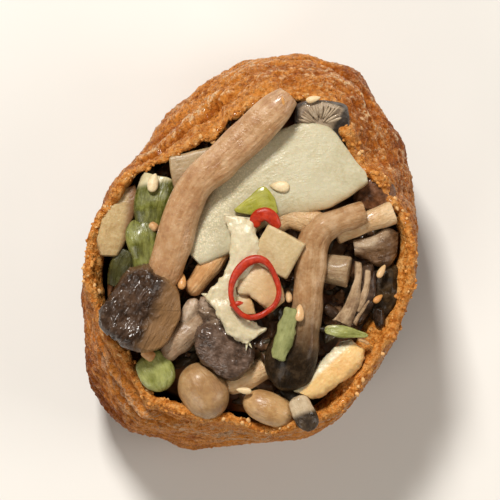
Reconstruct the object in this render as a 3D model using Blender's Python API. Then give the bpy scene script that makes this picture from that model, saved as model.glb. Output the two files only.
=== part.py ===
"""Open-topped inari sushi: a fried-tofu pouch heaped with mushrooms, bamboo shoot, leek and chilli.

Metres, +Z up. The origin is the centre of the footprint on the resting plane, +Y runs to the
hooded back of the pouch and +X to its right. Each topping is one closed body, lofted along its
own spine. Pieces bed into each other as soft food does: whatever lies lower is cut back from
whatever lies on it, and a thin gap is kept everywhere.
"""

import math
from typing import NamedTuple

import bmesh
import bpy
from mathutils import Matrix, Vector, noise

MM = 0.001
GAP = 0.3 * MM  # clearance kept between neighbouring pieces
MERGE = 0.08 * MM  # after a cut, corners closer than this become one
FLAT = math.radians(1)  # and faces that turn less than this become one

# Pouch: a sack with a pointed, hooded back. Each list, in millimetres, serves the same compass
# points, evenly spaced from +X round towards +Y
PLAN_RADIUS = [31.2, 32, 36.2, 38.1, 36, 31.2, 27.8, 28.6, 30.2, 33.6, 38.6, 38.4, 36.2, 34.9, 32.4, 30.6]
RIM_INSET = [0.9, 3.2, 8.6, 8.5, 10.6, 9.3, 5.2, 2.1, 0.5, 2.4, 6.5, 5.2, 2.2, 0.4, 0.2, 0.2]
RIM_HEIGHT = [35, 35.8, 37, 38, 38.5, 38.2, 37.5, 36.5, 35.5, 34.8, 34, 33.4, 33, 33.4, 34, 34.6]
BELLY_HEIGHT = [20, 20, 18, 16, 15, 15, 17, 20, 21, 16, 10, 11, 16, 20, 21, 21]
BASE_INSET = [8.5, 8.5, 8.5, 8, 8, 8, 8, 8, 8, 6.5, 4, 4.5, 7, 8, 8.5, 8.5]
BASE_CURVE = 2.4  # exponents of the wall's curve below and above its belly
HOOD_CURVE = 2.3
WALL = 2.3 * MM
POUCH_SIDES = 48
WALL_STEPS = 7
RIM_STEPS = 3

# Waves along the rim: number round the pouch, phase, inset and height in millimetres
RIM_WAVES = [(7, 0.6, 0.35, 0.45), (11, 2.1, 0.3, 0.4), (17, 4, 0.2, 0.3)]

# Simmered mixture inside the pouch, under the toppings
HEAP_CENTRE = Vector((0, -2.5 * MM, 0))
HEAP_EDGE = 28 * MM
HEAP_CROWN = 32.5 * MM
HEAP_RADIUS = 29 * MM
HEAP_LUMP = 1.1 * MM
HEAP_LUMP_SIZE = 6 * MM
HEAP_SIDES = 32
HEAP_RINGS = [0.12, 0.3, 0.5, 0.73]  # shares of the way from the edge to the middle

# Chilli ring, draped over the bamboo
CHILLI_CENTRE = Vector((0.8 * MM, -8.6 * MM, 40.9 * MM))
CHILLI_LENGTH = 10.8 * MM  # measured along the middle of the flesh
CHILLI_WIDTH = 8.5 * MM
CHILLI_FLESH = 1.4 * MM
CHILLI_THICK = 1.5 * MM
CHILLI_TURN = math.radians(-14)
CHILLI_TIP = math.radians(3)
CHILLI_SIDES = 24
CHILLI_SECTION = 6

LUMP_SIZE = 3.2 * MM  # grain of the unevenness on the toppings

# Base colour and roughness of each kind of food
FRIED_TOFU = ((0.42, 0.16, 0.04), 0.45)
SIMMERED_MIX = ((0.12, 0.06, 0.03), 0.5)
PALE_MUSHROOM = ((0.52, 0.31, 0.16), 0.35)
BROWN_MUSHROOM = ((0.44, 0.24, 0.11), 0.3)
DARK_MUSHROOM = ((0.13, 0.08, 0.055), 0.35)
BAMBOO = ((0.72, 0.6, 0.37), 0.4)
LEEK = ((0.28, 0.29, 0.08), 0.4)
CHILLI = ((0.42, 0.03, 0.01), 0.3)


class Stop(NamedTuple):
    """One stop on a topping's spine, with the topping's width and thickness there, in millimetres."""

    x: float
    y: float
    z: float
    width: float
    thick: float


class Topping(NamedTuple):
    """A loose piece: what it is made of, its spine, its section and the finish of its two ends."""

    name: str
    finish: tuple
    spine: list
    boxy: float = 2.0  # superellipse exponent of the section: 2 is an ellipse, 6 is nearly a box
    start_dome: float = 0.0  # length of a rounded end, in millimetres: 0 is a straight cut
    end_dome: float = 0.0
    lumps: float = 0.25  # unevenness, in millimetres
    sides: int = 10
    steps: int = 4


# From the lowest to the highest: where two would meet, the later one keeps its shape
TOPPINGS = [
    Topping("dark_cap_back", DARK_MUSHROOM,
            [Stop(19.6, 11.2, 32, 6.6, 4.8), Stop(22.8, 9.2, 32.2, 7.4, 5), Stop(26, 7.2, 31.6, 5, 4)],
            start_dome=1.8, end_dome=2),
    Topping("dark_cap_side", DARK_MUSHROOM,
            [Stop(25, -3.5, 30.8, 5, 4.2), Stop(24.5, -8.3, 31.2, 6.2, 4.6),
             Stop(22.8, -13.1, 30.8, 5, 4.2)], start_dome=2.5, end_dome=2.5),
    Topping("leek_low", LEEK,
            [Stop(-21.8, -1.2, 32, 4.4, 2.8), Stop(-23.4, -4.4, 31.8, 4.6, 2.8),
             Stop(-24, -7.5, 31.2, 4.2, 2.8)], boxy=3.2),
    Topping("bamboo_side", BAMBOO,
            [Stop(-21.4, 10.1, 33.2, 3, 2.8), Stop(-23.3, 5.5, 33.2, 5.6, 3),
             Stop(-25.4, -0.8, 32.6, 5, 3)], boxy=3.5, end_dome=1.2),
    Topping("cap_scrap", DARK_MUSHROOM,
            [Stop(8.4, -27.6, 33.6, 3.6, 3), Stop(9.6, -30.4, 34.2, 4.4, 3.2),
             Stop(10.7, -33.7, 34.8, 3.2, 2.4)], start_dome=1, end_dome=1.4),
    Topping("stem_front", PALE_MUSHROOM,
            [Stop(-4.8, -25.8, 32, 4, 3.8), Stop(-1.2, -24.4, 32.4, 4.4, 4),
             Stop(2.8, -22.2, 32.6, 4, 3.8)], start_dome=1.5),
    Topping("small_mushroom", BROWN_MUSHROOM,
            [Stop(-8.4, -13.4, 34, 4, 3.6), Stop(-11.2, -15.6, 33.9, 4.4, 4),
             Stop(-14.2, -18.2, 33.2, 4.6, 4.4), Stop(-17, -20.2, 32.4, 3.8, 4)],
            start_dome=1, end_dome=2.4),
    Topping("bean_cap_left", BROWN_MUSHROOM,
            [Stop(-11, -22.2, 32.8, 8, 7.2), Stop(-8.2, -26.8, 32.6, 9.2, 7.6),
             Stop(-5.6, -31.4, 32.2, 7.6, 6.8)], start_dome=4.2, end_dome=4.2),
    Topping("bean_cap_right", BROWN_MUSHROOM,
            [Stop(-1.2, -28, 32.2, 4.6, 5), Stop(3.2, -29.6, 32.3, 6, 6),
             Stop(7.9, -31.6, 31.9, 5, 5.2)], start_dome=3, end_dome=3),
    Topping("gill_slice_back", PALE_MUSHROOM,
            [Stop(18.6, 0.9, 33.6, 6, 3.2), Stop(22, 0.3, 33.4, 7.4, 3.6), Stop(26, -1.6, 32.4, 6, 3)],
            boxy=2.6, end_dome=2),
    Topping("gill_slice_side", PALE_MUSHROOM,
            [Stop(20.8, -3.7, 34.2, 5.4, 3), Stop(19, -8.7, 33.8, 6, 3.4), Stop(16.6, -14.7, 33, 4.6, 3)],
            boxy=2.6),
    Topping("stem_right", PALE_MUSHROOM,
            [Stop(15.6, 1.4, 35.2, 3, 2.8), Stop(20.6, 3.7, 35, 3.6, 3.2), Stop(26, 5.8, 34.2, 4.2, 3.4)]),
    Topping("stem_stub", PALE_MUSHROOM,
            [Stop(13.6, -4.4, 34.6, 5.2, 4.4), Stop(18, -5.2, 35.2, 5.6, 4.8)], steps=3),
    Topping("thin_stem", BROWN_MUSHROOM,
            [Stop(-3.6, 1, 34.8, 3.8, 3.4), Stop(-7.2, -3.9, 35.2, 3.9, 3.6),
             Stop(-11, -8.9, 34.8, 3.2, 3.2)], end_dome=1.4),
    Topping("bamboo_wedge", BAMBOO,
            [Stop(20, -17.8, 32.8, 4.6, 4.4), Stop(15.2, -22.5, 33.2, 6.2, 4.8),
             Stop(9.7, -27.2, 32.6, 4.2, 4)], boxy=2.8, start_dome=2.2),
    Topping("leek_front", LEEK,
            [Stop(-18.9, -20.4, 33, 5, 2.6), Stop(-17.2, -23.5, 33.2, 6.6, 2.8),
             Stop(-16.4, -26, 32.8, 5.2, 2.6)], boxy=2.6, end_dome=2),
    Topping("bamboo_corner", BAMBOO,
            [Stop(-14.4, 13, 34.8, 5.8, 3.4), Stop(-6.4, 14.2, 34.6, 7, 3.6)], boxy=6, steps=3),
    Topping("leek_back", LEEK,
            [Stop(-16.2, 12.5, 34.2, 6, 4.2), Stop(-17.8, 8, 34.8, 6.6, 4.6),
             Stop(-18, 3.7, 34.2, 5, 3.6)], boxy=3.4),
    Topping("leek_middle", LEEK,
            [Stop(-21, 4.6, 34.6, 4, 2.8), Stop(-19.6, 0.8, 35, 5.4, 3.6),
             Stop(-18.6, -3.3, 34.4, 4.6, 3)], boxy=2.8, start_dome=1.8),
    Topping("torn_cap", DARK_MUSHROOM,
            [Stop(-7.4, -10.6, 34.6, 5, 5), Stop(-5.6, -15.8, 34.8, 9.6, 7),
             Stop(-3.6, -20.7, 34.4, 9.8, 6.8), Stop(-2.8, -24.3, 33.8, 6.4, 5)],
            boxy=2.4, start_dome=1.5, end_dome=2.6, lumps=0.5, sides=12, steps=6),
    Topping("open_cap", DARK_MUSHROOM,
            [Stop(13.4, 17.6, 34.6, 7.4, 3), Stop(13, 21.8, 36.6, 9.9, 3.4),
             Stop(12.8, 25.4, 38.8, 8.6, 2.6)], boxy=2.6, start_dome=1, end_dome=1.5),
    Topping("bamboo_slice", BAMBOO,
            [Stop(17.5, 16.7, 36, 12.5, 3.1), Stop(10.4, 13.9, 36.6, 17.5, 3.5),
             Stop(3.4, 8.3, 36.8, 13.5, 3.5), Stop(-4.6, 3.2, 36.4, 8, 3.2),
             Stop(-10.8, -2, 35.8, 4.6, 2.8)], boxy=5, start_dome=0.8, lumps=0.15, sides=14, steps=9),
    Topping("bent_mushroom", BROWN_MUSHROOM,
            [Stop(20.6, 5.5, 36.6, 4.4, 4), Stop(15.6, 3.8, 37.4, 4.8, 4.4),
             Stop(11.9, 1, 37.6, 5.8, 4.8), Stop(10.8, -4.9, 37, 5.6, 5), Stop(10.4, -10.5, 36.4, 5.6, 5),
             Stop(9.4, -15.6, 35.8, 6.8, 5.8), Stop(8, -20.8, 35, 10.2, 7),
             Stop(6.4, -26.9, 33.8, 8.4, 5.6)], end_dome=4, sides=12, steps=12),
    Topping("leek_leaf", LEEK,
            [Stop(-1.8, 6.7, 39.3, 3.8, 1.3), Stop(4.2, 8.3, 39.6, 3.8, 1.3)],
            boxy=4, lumps=0.1, steps=3),
    Topping("bamboo_square", BAMBOO,
            [Stop(6.7, 1.5, 39.6, 7.8, 2.8), Stop(3.2, -4.8, 38.6, 7.8, 2.8)],
            boxy=6, lumps=0.1, steps=3),
    Topping("bamboo_tip", BAMBOO,
            [Stop(-2.1, 5.1, 39.4, 4.4, 2.4), Stop(-1.4, -0.3, 39.2, 5.2, 2.8),
             Stop(-3.8, -5.7, 38.8, 5, 2.8), Stop(-5, -10.5, 38.8, 5.2, 2.8),
             Stop(-2.8, -14.7, 38.9, 5.6, 2.4), Stop(1, -17.3, 38.4, 5, 1.8)],
            boxy=3, start_dome=2, steps=10),
    Topping("leek_strip", LEEK,
            [Stop(7.6, -12, 39.2, 2.6, 1.5), Stop(6.3, -16.7, 39.2, 3.4, 1.7),
             Stop(5, -21.2, 38.8, 2.6, 1.5)], boxy=3, lumps=0.1),
    Topping("long_mushroom", PALE_MUSHROOM,
            [Stop(7.2, 26.4, 41.6, 5, 4.2), Stop(0.2, 19.6, 41.2, 6.8, 5), Stop(-5.4, 14.2, 40.8, 6.6, 5.2),
             Stop(-9.5, 10.6, 40.2, 6.6, 5.4), Stop(-12.2, 6.3, 39.4, 7, 5.4),
             Stop(-13.4, 1.3, 38.4, 7, 5.4), Stop(-15.3, -4, 37.4, 7, 6), Stop(-17.9, -8.8, 37, 12, 7.8),
             Stop(-20.2, -13.7, 36.6, 13.8, 8.2), Stop(-22.3, -19.3, 36, 9.6, 6.4)],
            end_dome=4.2, lumps=0.35, sides=14, steps=15),
]


def clear_scene():
    for obj in list(bpy.data.objects):
        bpy.data.objects.remove(obj)


def make_material(name, finish):
    colour, roughness = finish
    material = bpy.data.materials.new(name)
    material.use_nodes = True
    shader = material.node_tree.nodes["Principled BSDF"]
    shader.inputs["Base Color"].default_value = (*colour, 1)
    shader.inputs["Roughness"].default_value = roughness
    shader.inputs["Metallic"].default_value = 0
    material.diffuse_color = (*colour, 1)
    return material


def add_object(name, work, finish):
    """Turn the bmesh into a named object. A body with no finish is a cutter, left out of renders."""
    mesh = bpy.data.meshes.new(name)
    work.to_mesh(mesh)
    work.free()
    obj = bpy.data.objects.new(name, mesh)
    bpy.context.scene.collection.objects.link(obj)
    if finish:
        mesh.materials.append(make_material(name, finish))
        mesh.shade_smooth()
    else:
        obj.hide_render = True
        obj.display_type = "WIRE"
    return obj


def bridge(work, row, ahead):
    """Triangles between two closed rows of corners."""
    count = len(row)
    for k in range(count):
        nxt = (k + 1) % count
        work.faces.new((row[k], row[nxt], ahead[nxt]))
        work.faces.new((row[k], ahead[nxt], ahead[k]))


def close_row(work, row):
    """A fan from the middle of a closed row of corners, facing the way the row turns."""
    middle = work.verts.new(sum((v.co for v in row), Vector()) / len(row))
    for k, corner in enumerate(row):
        work.faces.new((middle, corner, row[(k + 1) % len(row)]))


def add_loft(name, rings, finish):
    """One closed body through rings that turn anticlockwise as seen from beyond the last one."""
    work = bmesh.new()
    rows = [[work.verts.new(point) for point in ring] for ring in rings]
    for row, ahead in zip(rows, rows[1:]):
        bridge(work, row, ahead)
    close_row(work, rows[0][::-1])
    close_row(work, rows[-1])
    return add_object(name, work, finish)


def catmull_rom(before, start, end, after, share):
    """The smooth value that share of the way from start to end."""
    slope = end - before
    bend = 2 * before - 5 * start + 4 * end - after
    twist = 3 * (start - end) + after - before
    return start + 0.5 * share * (slope + share * (bend + share * twist))


def around(values, angle):
    """A smooth closed curve through values spaced evenly round the compass, read at one angle."""
    place = angle / math.tau * len(values)
    first = math.floor(place)
    picked = [values[(first + k) % len(values)] for k in (-1, 0, 1, 2)]
    return catmull_rom(*picked, place - first) * MM


def superellipse(angle, exponent):
    """A point of the unit superellipse."""
    x, y = math.cos(angle), math.sin(angle)
    return math.copysign(abs(x) ** (2 / exponent), x), math.copysign(abs(y) ** (2 / exponent), y)


def plan_point(angle, inset, height):
    """A point at that height, that far inside the pouch's widest outline."""
    radius = around(PLAN_RADIUS, angle) - inset
    return Vector((radius * math.cos(angle), radius * math.sin(angle), height))


def wall_line(angle):
    """The outside of the wall as (inset, height) points, from the edge of the base to the rim."""
    base, belly = around(BASE_INSET, angle), around(BELLY_HEIGHT, angle)
    rim, top = around(RIM_INSET, angle), around(RIM_HEIGHT, angle) - WALL / 2
    for count, phase, sway, rise in RIM_WAVES:
        rim += sway * MM * math.sin(count * angle + phase)
        top += rise * MM * math.cos(count * angle + phase)
    line = []
    for step in range(WALL_STEPS + 1):
        height = top * step / WALL_STEPS
        if height < belly:
            inset = base * (1 - height / belly) ** BASE_CURVE
        else:
            inset = rim * ((height - belly) / (top - belly)) ** HOOD_CURVE
        line.append(Vector((inset, height)))
    return line


def offset_line(line, depth, floor):
    """The line moved inwards through the wall by depth, and never below floor."""
    moved = []
    for step, point in enumerate(line):
        along = (line[min(step + 1, len(line) - 1)] - line[max(step - 1, 0)]).normalized()
        point = point + Vector((along.y, -along.x)) * depth
        moved.append(Vector((point.x, max(point.y, floor))))
    return moved


def wall_section(angle, grow):
    """The wall's closed section: up its outside, over the rounded rim and down its inside."""
    line = wall_line(angle)
    outside = offset_line(line, -grow, -grow)
    outside[0].y = -grow
    inside = offset_line(line, WALL + grow, WALL + grow)
    inside[0].y = WALL + grow
    middle = (outside[-1] + inside[-1]) / 2
    across = outside[-1] - middle
    up = Vector((across.y, -across.x))
    turns = [math.pi * step / RIM_STEPS for step in range(1, RIM_STEPS)]
    rim = [middle + across * math.cos(turn) + up * math.sin(turn) for turn in turns]
    return outside + rim + inside[::-1]


def add_pouch(name, finish, grow=0.0):
    """The fried-tofu sack, closed below and open above. grow thickens its wall on both sides."""
    angles = [math.tau * k / POUCH_SIDES for k in range(POUCH_SIDES)]
    sections = [wall_section(angle, grow) for angle in angles]
    rings = [[plan_point(angle, *point) for angle, point in zip(angles, row)] for row in zip(*sections)]
    return add_loft(name, rings, finish)


def heap_height(place):
    """The mixture's surface: a low dome with lumps."""
    reach = ((place - HEAP_CENTRE).length / HEAP_RADIUS) ** 2
    lump = HEAP_LUMP * noise.noise(place / HEAP_LUMP_SIZE)
    return HEAP_CROWN - (HEAP_CROWN - HEAP_EDGE) * reach + lump


def add_filling(name, finish):
    """The mixture, which fills the pouch to just short of its wall, up to the heap's surface."""
    angles = [math.tau * k / HEAP_SIDES for k in range(HEAP_SIDES)]
    sides = [offset_line(wall_line(angle), WALL + GAP, WALL + GAP) for angle in angles]
    levels = min(sum(point.y < HEAP_EDGE for point in side) for side in sides)
    rings = []
    for row in range(levels):
        rings.append([plan_point(angle, *side[row]) for angle, side in zip(angles, sides)])
    edge = [Vector((point.x, point.y, 0)) for point in rings[-1]]
    for share in HEAP_RINGS:
        ring = [point.lerp(HEAP_CENTRE, share) for point in edge]
        for point in ring:
            point.z = heap_height(Vector((point.x, point.y, 0)))
        rings.append(ring)
    return add_loft(name, rings, finish)


def read_spine(spine, place):
    """The point, width and thickness at place, counted in stops from 0."""
    last = len(spine) - 1
    first = min(int(place), last - 1)
    picked = [spine[min(max(first + k, 0), last)] for k in (-1, 0, 1, 2)]
    x, y, z, width, thick = [catmull_rom(*column, place - first) * MM for column in zip(*picked)]
    return Vector((x, y, z)), width, thick


def stations(topping):
    """Shares of the way along the spine, each with how much of the section is there."""
    points = [Vector((stop.x, stop.y, stop.z)) for stop in topping.spine]
    length = sum((ahead - point).length for point, ahead in zip(points, points[1:]))
    start, end = topping.start_dome / length, topping.end_dome / length
    rows = topping.sides // 5
    turns = [math.pi / 2 * (k + 0.5) / (rows + 0.5) for k in range(rows)]
    dome = [(1 - math.cos(turn), math.sin(turn)) for turn in turns]
    places = [(start + (1 - start - end) * k / topping.steps, 1) for k in range(topping.steps + 1)]
    if start:
        places = [(start * depth, size) for depth, size in dome] + places
    if end:
        places += [(1 - end * depth, size) for depth, size in reversed(dome)]
    return places


def add_topping(topping, finish, grow=0.0):
    """A body lofted along the topping's spine. grow swells it on every side."""
    rings = []
    last = len(topping.spine) - 1
    for share, size in stations(topping):
        place = share * last
        centre, width, thick = read_spine(topping.spine, place)
        ahead, behind = (read_spine(topping.spine, min(max(place + d, 0), last))[0] for d in (0.05, -0.05))
        along = (ahead - behind).normalized()
        side = Vector((0, 0, 1)).cross(along).normalized()
        up = along.cross(side)
        centre += along * grow * ((share > 0.999) - (share < 0.001))
        ring = []
        for k in range(topping.sides):
            across, high = superellipse(math.tau * k / topping.sides, topping.boxy)
            lump = topping.lumps * MM * noise.noise((centre + side * across * width / 2) / LUMP_SIZE)
            reach = side * across * (width / 2 * size + grow) + up * high * (thick / 2 * size + grow)
            ring.append(centre + reach * (1 + lump * size / reach.length))
        rings.append(ring)
    return add_loft(topping.name, rings, finish)


def add_chilli(name, finish, grow=0.0):
    """A slice across a chilli: an oval band of flesh, closed on itself."""
    work = bmesh.new()
    pose = Matrix.Translation(CHILLI_CENTRE) @ Matrix.Rotation(CHILLI_TIP, 4, "Y")
    pose @= Matrix.Rotation(CHILLI_TURN, 4, "Z")
    rows = []
    for k in range(CHILLI_SIDES):
        angle = math.tau * k / CHILLI_SIDES
        outwards = Vector((math.cos(angle), math.sin(angle), 0))
        middle = Vector((CHILLI_WIDTH / 2 * outwards.x, CHILLI_LENGTH / 2 * outwards.y, 0))
        row = []
        for j in range(CHILLI_SECTION):
            across, high = superellipse(math.tau * j / CHILLI_SECTION, 2.6)
            point = middle + outwards * across * (CHILLI_FLESH / 2 + grow)
            point.z = high * (CHILLI_THICK / 2 + grow)
            row.append(work.verts.new(pose @ point))
        rows.append(row)
    for row, ahead in zip(rows, rows[1:] + rows[:1]):
        bridge(work, ahead, row)
    return add_object(name, work, finish)


def boxes_meet(first, second):
    """Whether the two objects' boxes overlap."""
    for axis in range(3):
        low, high = (sorted(corner[axis] for corner in obj.bound_box) for obj in (first, second))
        if low[-1] < high[0] or high[-1] < low[0]:
            return False
    return True


def bodies(work):
    """The separate bodies in a bmesh, each a set of faces."""
    left, found = set(work.faces), []
    while left:
        body, front = set(), [left.pop()]
        while front:
            face = front.pop()
            body.add(face)
            near = {other for edge in face.edges for other in edge.link_faces} & left
            left -= near
            front.extend(near)
        found.append(body)
    return found


def volume(faces):
    """The volume that a body's triangles enclose."""
    corners = ([v.co for v in face.verts] for face in faces)
    return sum(a.dot(b.cross(c)) for a, b, c in corners) / 6


def carve(piece, cutters):
    """Cut the piece back from every cutter, and keep its largest body."""
    for cutter in cutters:
        cut = piece.modifiers.new(cutter.name, "BOOLEAN")
        cut.operation = "DIFFERENCE"
        cut.solver = "EXACT"
        cut.object = cutter
    graph = bpy.context.evaluated_depsgraph_get()
    work = bmesh.new()
    work.from_mesh(piece.evaluated_get(graph).data)
    piece.modifiers.clear()
    bmesh.ops.remove_doubles(work, verts=work.verts, dist=MERGE)
    bmesh.ops.dissolve_degenerate(work, edges=work.edges, dist=MERGE / 2)
    bmesh.ops.dissolve_limit(work, angle_limit=FLAT, verts=work.verts, edges=work.edges)
    bmesh.ops.triangulate(work, faces=work.faces)
    for body in sorted(bodies(work), key=volume)[:-1]:
        bmesh.ops.delete(work, geom=list(body), context="FACES")
    work.to_mesh(piece.data)
    work.free()


def main():
    clear_scene()
    add_pouch("pouch", FRIED_TOFU)
    pieces = [add_filling("filling", SIMMERED_MIX)]
    pieces += [add_topping(topping, topping.finish) for topping in TOPPINGS]
    pieces.append(add_chilli("chilli_ring", CHILLI))
    cutters = [add_topping(topping, None, GAP) for topping in TOPPINGS]
    cutters.append(add_chilli("chilli_cutter", None, GAP))
    pouch_cutter = add_pouch("pouch_cutter", None, GAP)
    for order, piece in enumerate(pieces):
        carve(piece, [cutter for cutter in [pouch_cutter] + cutters[order:] if boxes_meet(piece, cutter)])
    for cutter in cutters + [pouch_cutter]:
        bpy.data.objects.remove(cutter)


main()
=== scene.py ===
"""The looks of an open-topped inari sushi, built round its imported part.

Every piece is drawn in millimetres from the middle of the pouch's foot, and is written to its
mesh in metres. +Y runs to the hooded back of the pouch, +X to its right, and +Z is up.
"""

from __future__ import annotations

import itertools
import logging
import math
from dataclasses import dataclass, field, replace
from enum import Enum
from typing import NamedTuple, Sequence

import bpy
import numpy as np
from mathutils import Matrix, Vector

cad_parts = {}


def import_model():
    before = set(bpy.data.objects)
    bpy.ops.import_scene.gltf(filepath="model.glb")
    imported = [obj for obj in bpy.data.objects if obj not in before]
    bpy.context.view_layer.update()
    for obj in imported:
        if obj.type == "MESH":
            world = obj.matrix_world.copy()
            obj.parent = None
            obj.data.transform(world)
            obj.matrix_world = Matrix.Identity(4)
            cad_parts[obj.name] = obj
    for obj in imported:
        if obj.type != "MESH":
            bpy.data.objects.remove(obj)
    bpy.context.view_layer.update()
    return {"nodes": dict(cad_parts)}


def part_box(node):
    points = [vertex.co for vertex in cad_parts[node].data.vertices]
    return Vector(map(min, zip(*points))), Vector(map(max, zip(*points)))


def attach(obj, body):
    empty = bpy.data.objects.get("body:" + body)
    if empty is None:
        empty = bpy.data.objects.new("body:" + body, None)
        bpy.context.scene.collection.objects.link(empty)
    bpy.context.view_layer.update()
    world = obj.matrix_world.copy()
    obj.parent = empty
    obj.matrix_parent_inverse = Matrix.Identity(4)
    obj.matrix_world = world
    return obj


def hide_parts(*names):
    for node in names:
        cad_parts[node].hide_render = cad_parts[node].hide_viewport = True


LOG = logging.getLogger("inari")
MM = 0.001
POUCH_RADIUS = 33  # the pouch's mean radius, by which an angle becomes a distance round it
TAU = math.tau
SKIN_MAP = "skin"

Array = np.ndarray
Socket = bpy.types.NodeSocket
Colour = tuple[float, float, float]
Place = tuple[float, float, float]
Numbers = tuple[float, ...]
Rise = tuple[float, float, float, float]  # weights along and across, then where a mask starts and ends
Bulge = tuple[float, float, float]  # a direction and a reach in degrees, and a height in millimetres
Wave = tuple[float, float, float, float]  # how often round the pouch, a phase, and its sway inward and up


class Slot(Enum):
    """Material slot names, which the pieces carry."""

    TOFU = "fried_tofu"
    MIXTURE = "mixture"
    PALE_MUSHROOM = "pale_mushroom"
    BROWN_MUSHROOM = "brown_mushroom"
    DARK_MUSHROOM = "dark_mushroom"
    BAMBOO = "bamboo"
    LEEK = "leek"
    CHILLI = "chilli"


class Stop(NamedTuple):
    """A station of a spine: its place, and the width and thickness of the food there."""

    x: float
    y: float
    z: float
    width: float
    thick: float


def spine(*rows: Sequence[float]) -> tuple[Stop, ...]:
    """The stations of a morsel, from rows of numbers."""
    return tuple(Stop(*row) for row in rows)


# ---- shapes


def ease(low: float, high: float, value: Array) -> Array:
    """Rises smoothly from 0 where the value is low to 1 where it is high."""
    share = np.clip((np.asarray(value, float) - low) / (high - low), 0, 1)
    return share * share * (3 - 2 * share)


def hermite(before: Array, start: Array, end: Array, after: Array, share: Array) -> Array:
    """The Catmull-Rom value that share of the way from start to end.

    Args:
        before: The value before start.
        start: The value at a share of 0.
        end: The value at a share of 1.
        after: The value after end.
        share: How far it is read.

    Returns:
        The value.
    """
    slope = end - before
    bend = 2 * before - 5 * start + 4 * end - after
    twist = 3 * (start - end) + after - before
    return start + 0.5 * share * (slope + share * (bend + share * twist))


def along_curve(values: Array, places: Array) -> Array:
    """A smooth open curve through rows of values, read at places counted in rows from 0.

    Args:
        values: The rows.
        places: Where to read.

    Returns:
        A row for each place.
    """
    last = len(values) - 1
    first = np.clip(places.astype(int), 0, last - 1)
    share = (places - first)[:, None]
    picked = [values[np.clip(first + step, 0, last)] for step in (-1, 0, 1, 2)]
    return hermite(*picked, share)


def compass(values: Sequence[float], turn: Array) -> Array:
    """A smooth closed curve through values spaced evenly from +X towards +Y, read at angles in radians.

    Args:
        values: The values.
        turn: Where to read.

    Returns:
        A value for each angle.
    """
    held = np.asarray(values, float)
    place = np.asarray(turn, float) / TAU * len(held)
    first = np.floor(place).astype(int)
    picked = [held[(first + step) % len(held)] for step in (-1, 0, 1, 2)]
    return hermite(*picked, place - first)


def ring(sides: int) -> Array:
    """The angles of the corners of an even ring, in radians from +X."""
    return TAU * np.arange(sides) / sides


def section(turn: Array, boxy: float) -> tuple[Array, Array]:
    """How far a section reaches across and up at each angle. A boxy of 2 is round, and more is squarer."""
    reach = (np.abs(np.cos(turn)) ** boxy + np.abs(np.sin(turn)) ** boxy) ** (-1 / boxy)
    return np.cos(turn) * reach, np.sin(turn) * reach


def walked(line: Array) -> Array:
    """The distance walked along a line at each of its points."""
    return np.concatenate([[0], np.cumsum(np.linalg.norm(np.diff(line, axis=0), axis=1))])


def swing(turn: Array, degrees: float) -> Array:
    """The angle from a compass direction, from minus half a turn to half a turn, in radians."""
    return np.angle(np.exp(1j * (turn - math.radians(degrees))))


def bell(gap: Array, width: float) -> Array:
    """A rounded bump: 1 where the gap is 0, and faint beyond the width."""
    return np.exp(-((gap / width) ** 2))


def joined(*parts: Array) -> Array:
    """Puts coordinates together along a last axis."""
    return np.stack(parts, axis=-1)


def fill(values: Array, like: Array) -> Array:
    """Repeats values to the shape of another array's."""
    return np.broadcast_to(values, like.shape)


def soft_least(first: Array, second: Array, blend: float) -> Array:
    """The lesser of two heights, rounded off over blend where they meet."""
    share = np.clip(0.5 + 0.5 * (second - first) / blend, 0, 1)
    return second + (first - second) * share - blend * share * (1 - share)


class Unevenness:
    """Smooth lumps in space that come out the same every time."""

    def __init__(self, seed: int) -> None:
        """Draws the slopes that the lumps are made from."""
        draw = np.random.default_rng(seed)
        self.order = draw.permutation(256)
        slopes = draw.normal(size=(256, 3))
        self.slopes = slopes / np.linalg.norm(slopes, axis=1, keepdims=True)
        self.spots = draw.random((256, 3))

    def pick(self, cell: Array) -> Array:
        """The drawn entry that belongs to each whole-numbered cell."""
        cell = cell & 255
        return self.order[(self.order[(self.order[cell[..., 0]] + cell[..., 1]) & 255] + cell[..., 2]) & 255]

    def smooth(self, points: Array, size: float) -> Array:
        """Lumps of one size, from about -1 to 1.

        Args:
            points: Places, in millimetres.
            size: How far apart the lumps are.

        Returns:
            A value for each place.
        """
        spot = points / size
        cell = np.floor(spot).astype(int)
        part = spot - cell
        fade = part**3 * (part * (part * 6 - 15) + 10)
        total = np.zeros(points.shape[:-1])
        for corner in itertools.product((0, 1), repeat=3):
            step = np.array(corner)
            slope = self.slopes[self.pick(cell + step)]
            weight = np.prod(np.where(step, fade, 1 - fade), axis=-1)
            total += weight * ((part - step) * slope).sum(axis=-1)
        return total * 1.6

    def rough(self, points: Array, size: float, octaves: int = 3) -> Array:
        """Lumps with smaller lumps on them."""
        parts = [self.smooth(points + 17.3 * k, size / 2**k) / 2**k for k in range(octaves)]
        return sum(parts) / (2 - 0.5 ** (octaves - 1))

    def ridged(self, points: Array, size: float, octaves: int = 3) -> Array:
        """Narrow ridges between rounded hollows, from 0 to 1."""
        parts = [(1 - np.abs(self.smooth(points + 9.1 * k, size / 2**k))) / 2**k for k in range(octaves)]
        return (sum(parts) / (2 - 0.5 ** (octaves - 1))) ** 2

    def beads(self, points: Array, size: float) -> Array:
        """Distance to the nearest of many scattered spots, in spot spacings.

        Args:
            points: Places, in millimetres.
            size: How far apart the spots are.

        Returns:
            A value for each place.
        """
        spot = points / size
        cell = np.floor(spot).astype(int)
        nearest = np.full(points.shape[:-1], 9.0)
        for corner in itertools.product((-1, 0, 1), repeat=3):
            step = cell + np.array(corner)
            gap = step + self.spots[self.pick(step)] - spot
            nearest = np.minimum(nearest, (gap * gap).sum(axis=-1))
        return np.sqrt(nearest)


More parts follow.
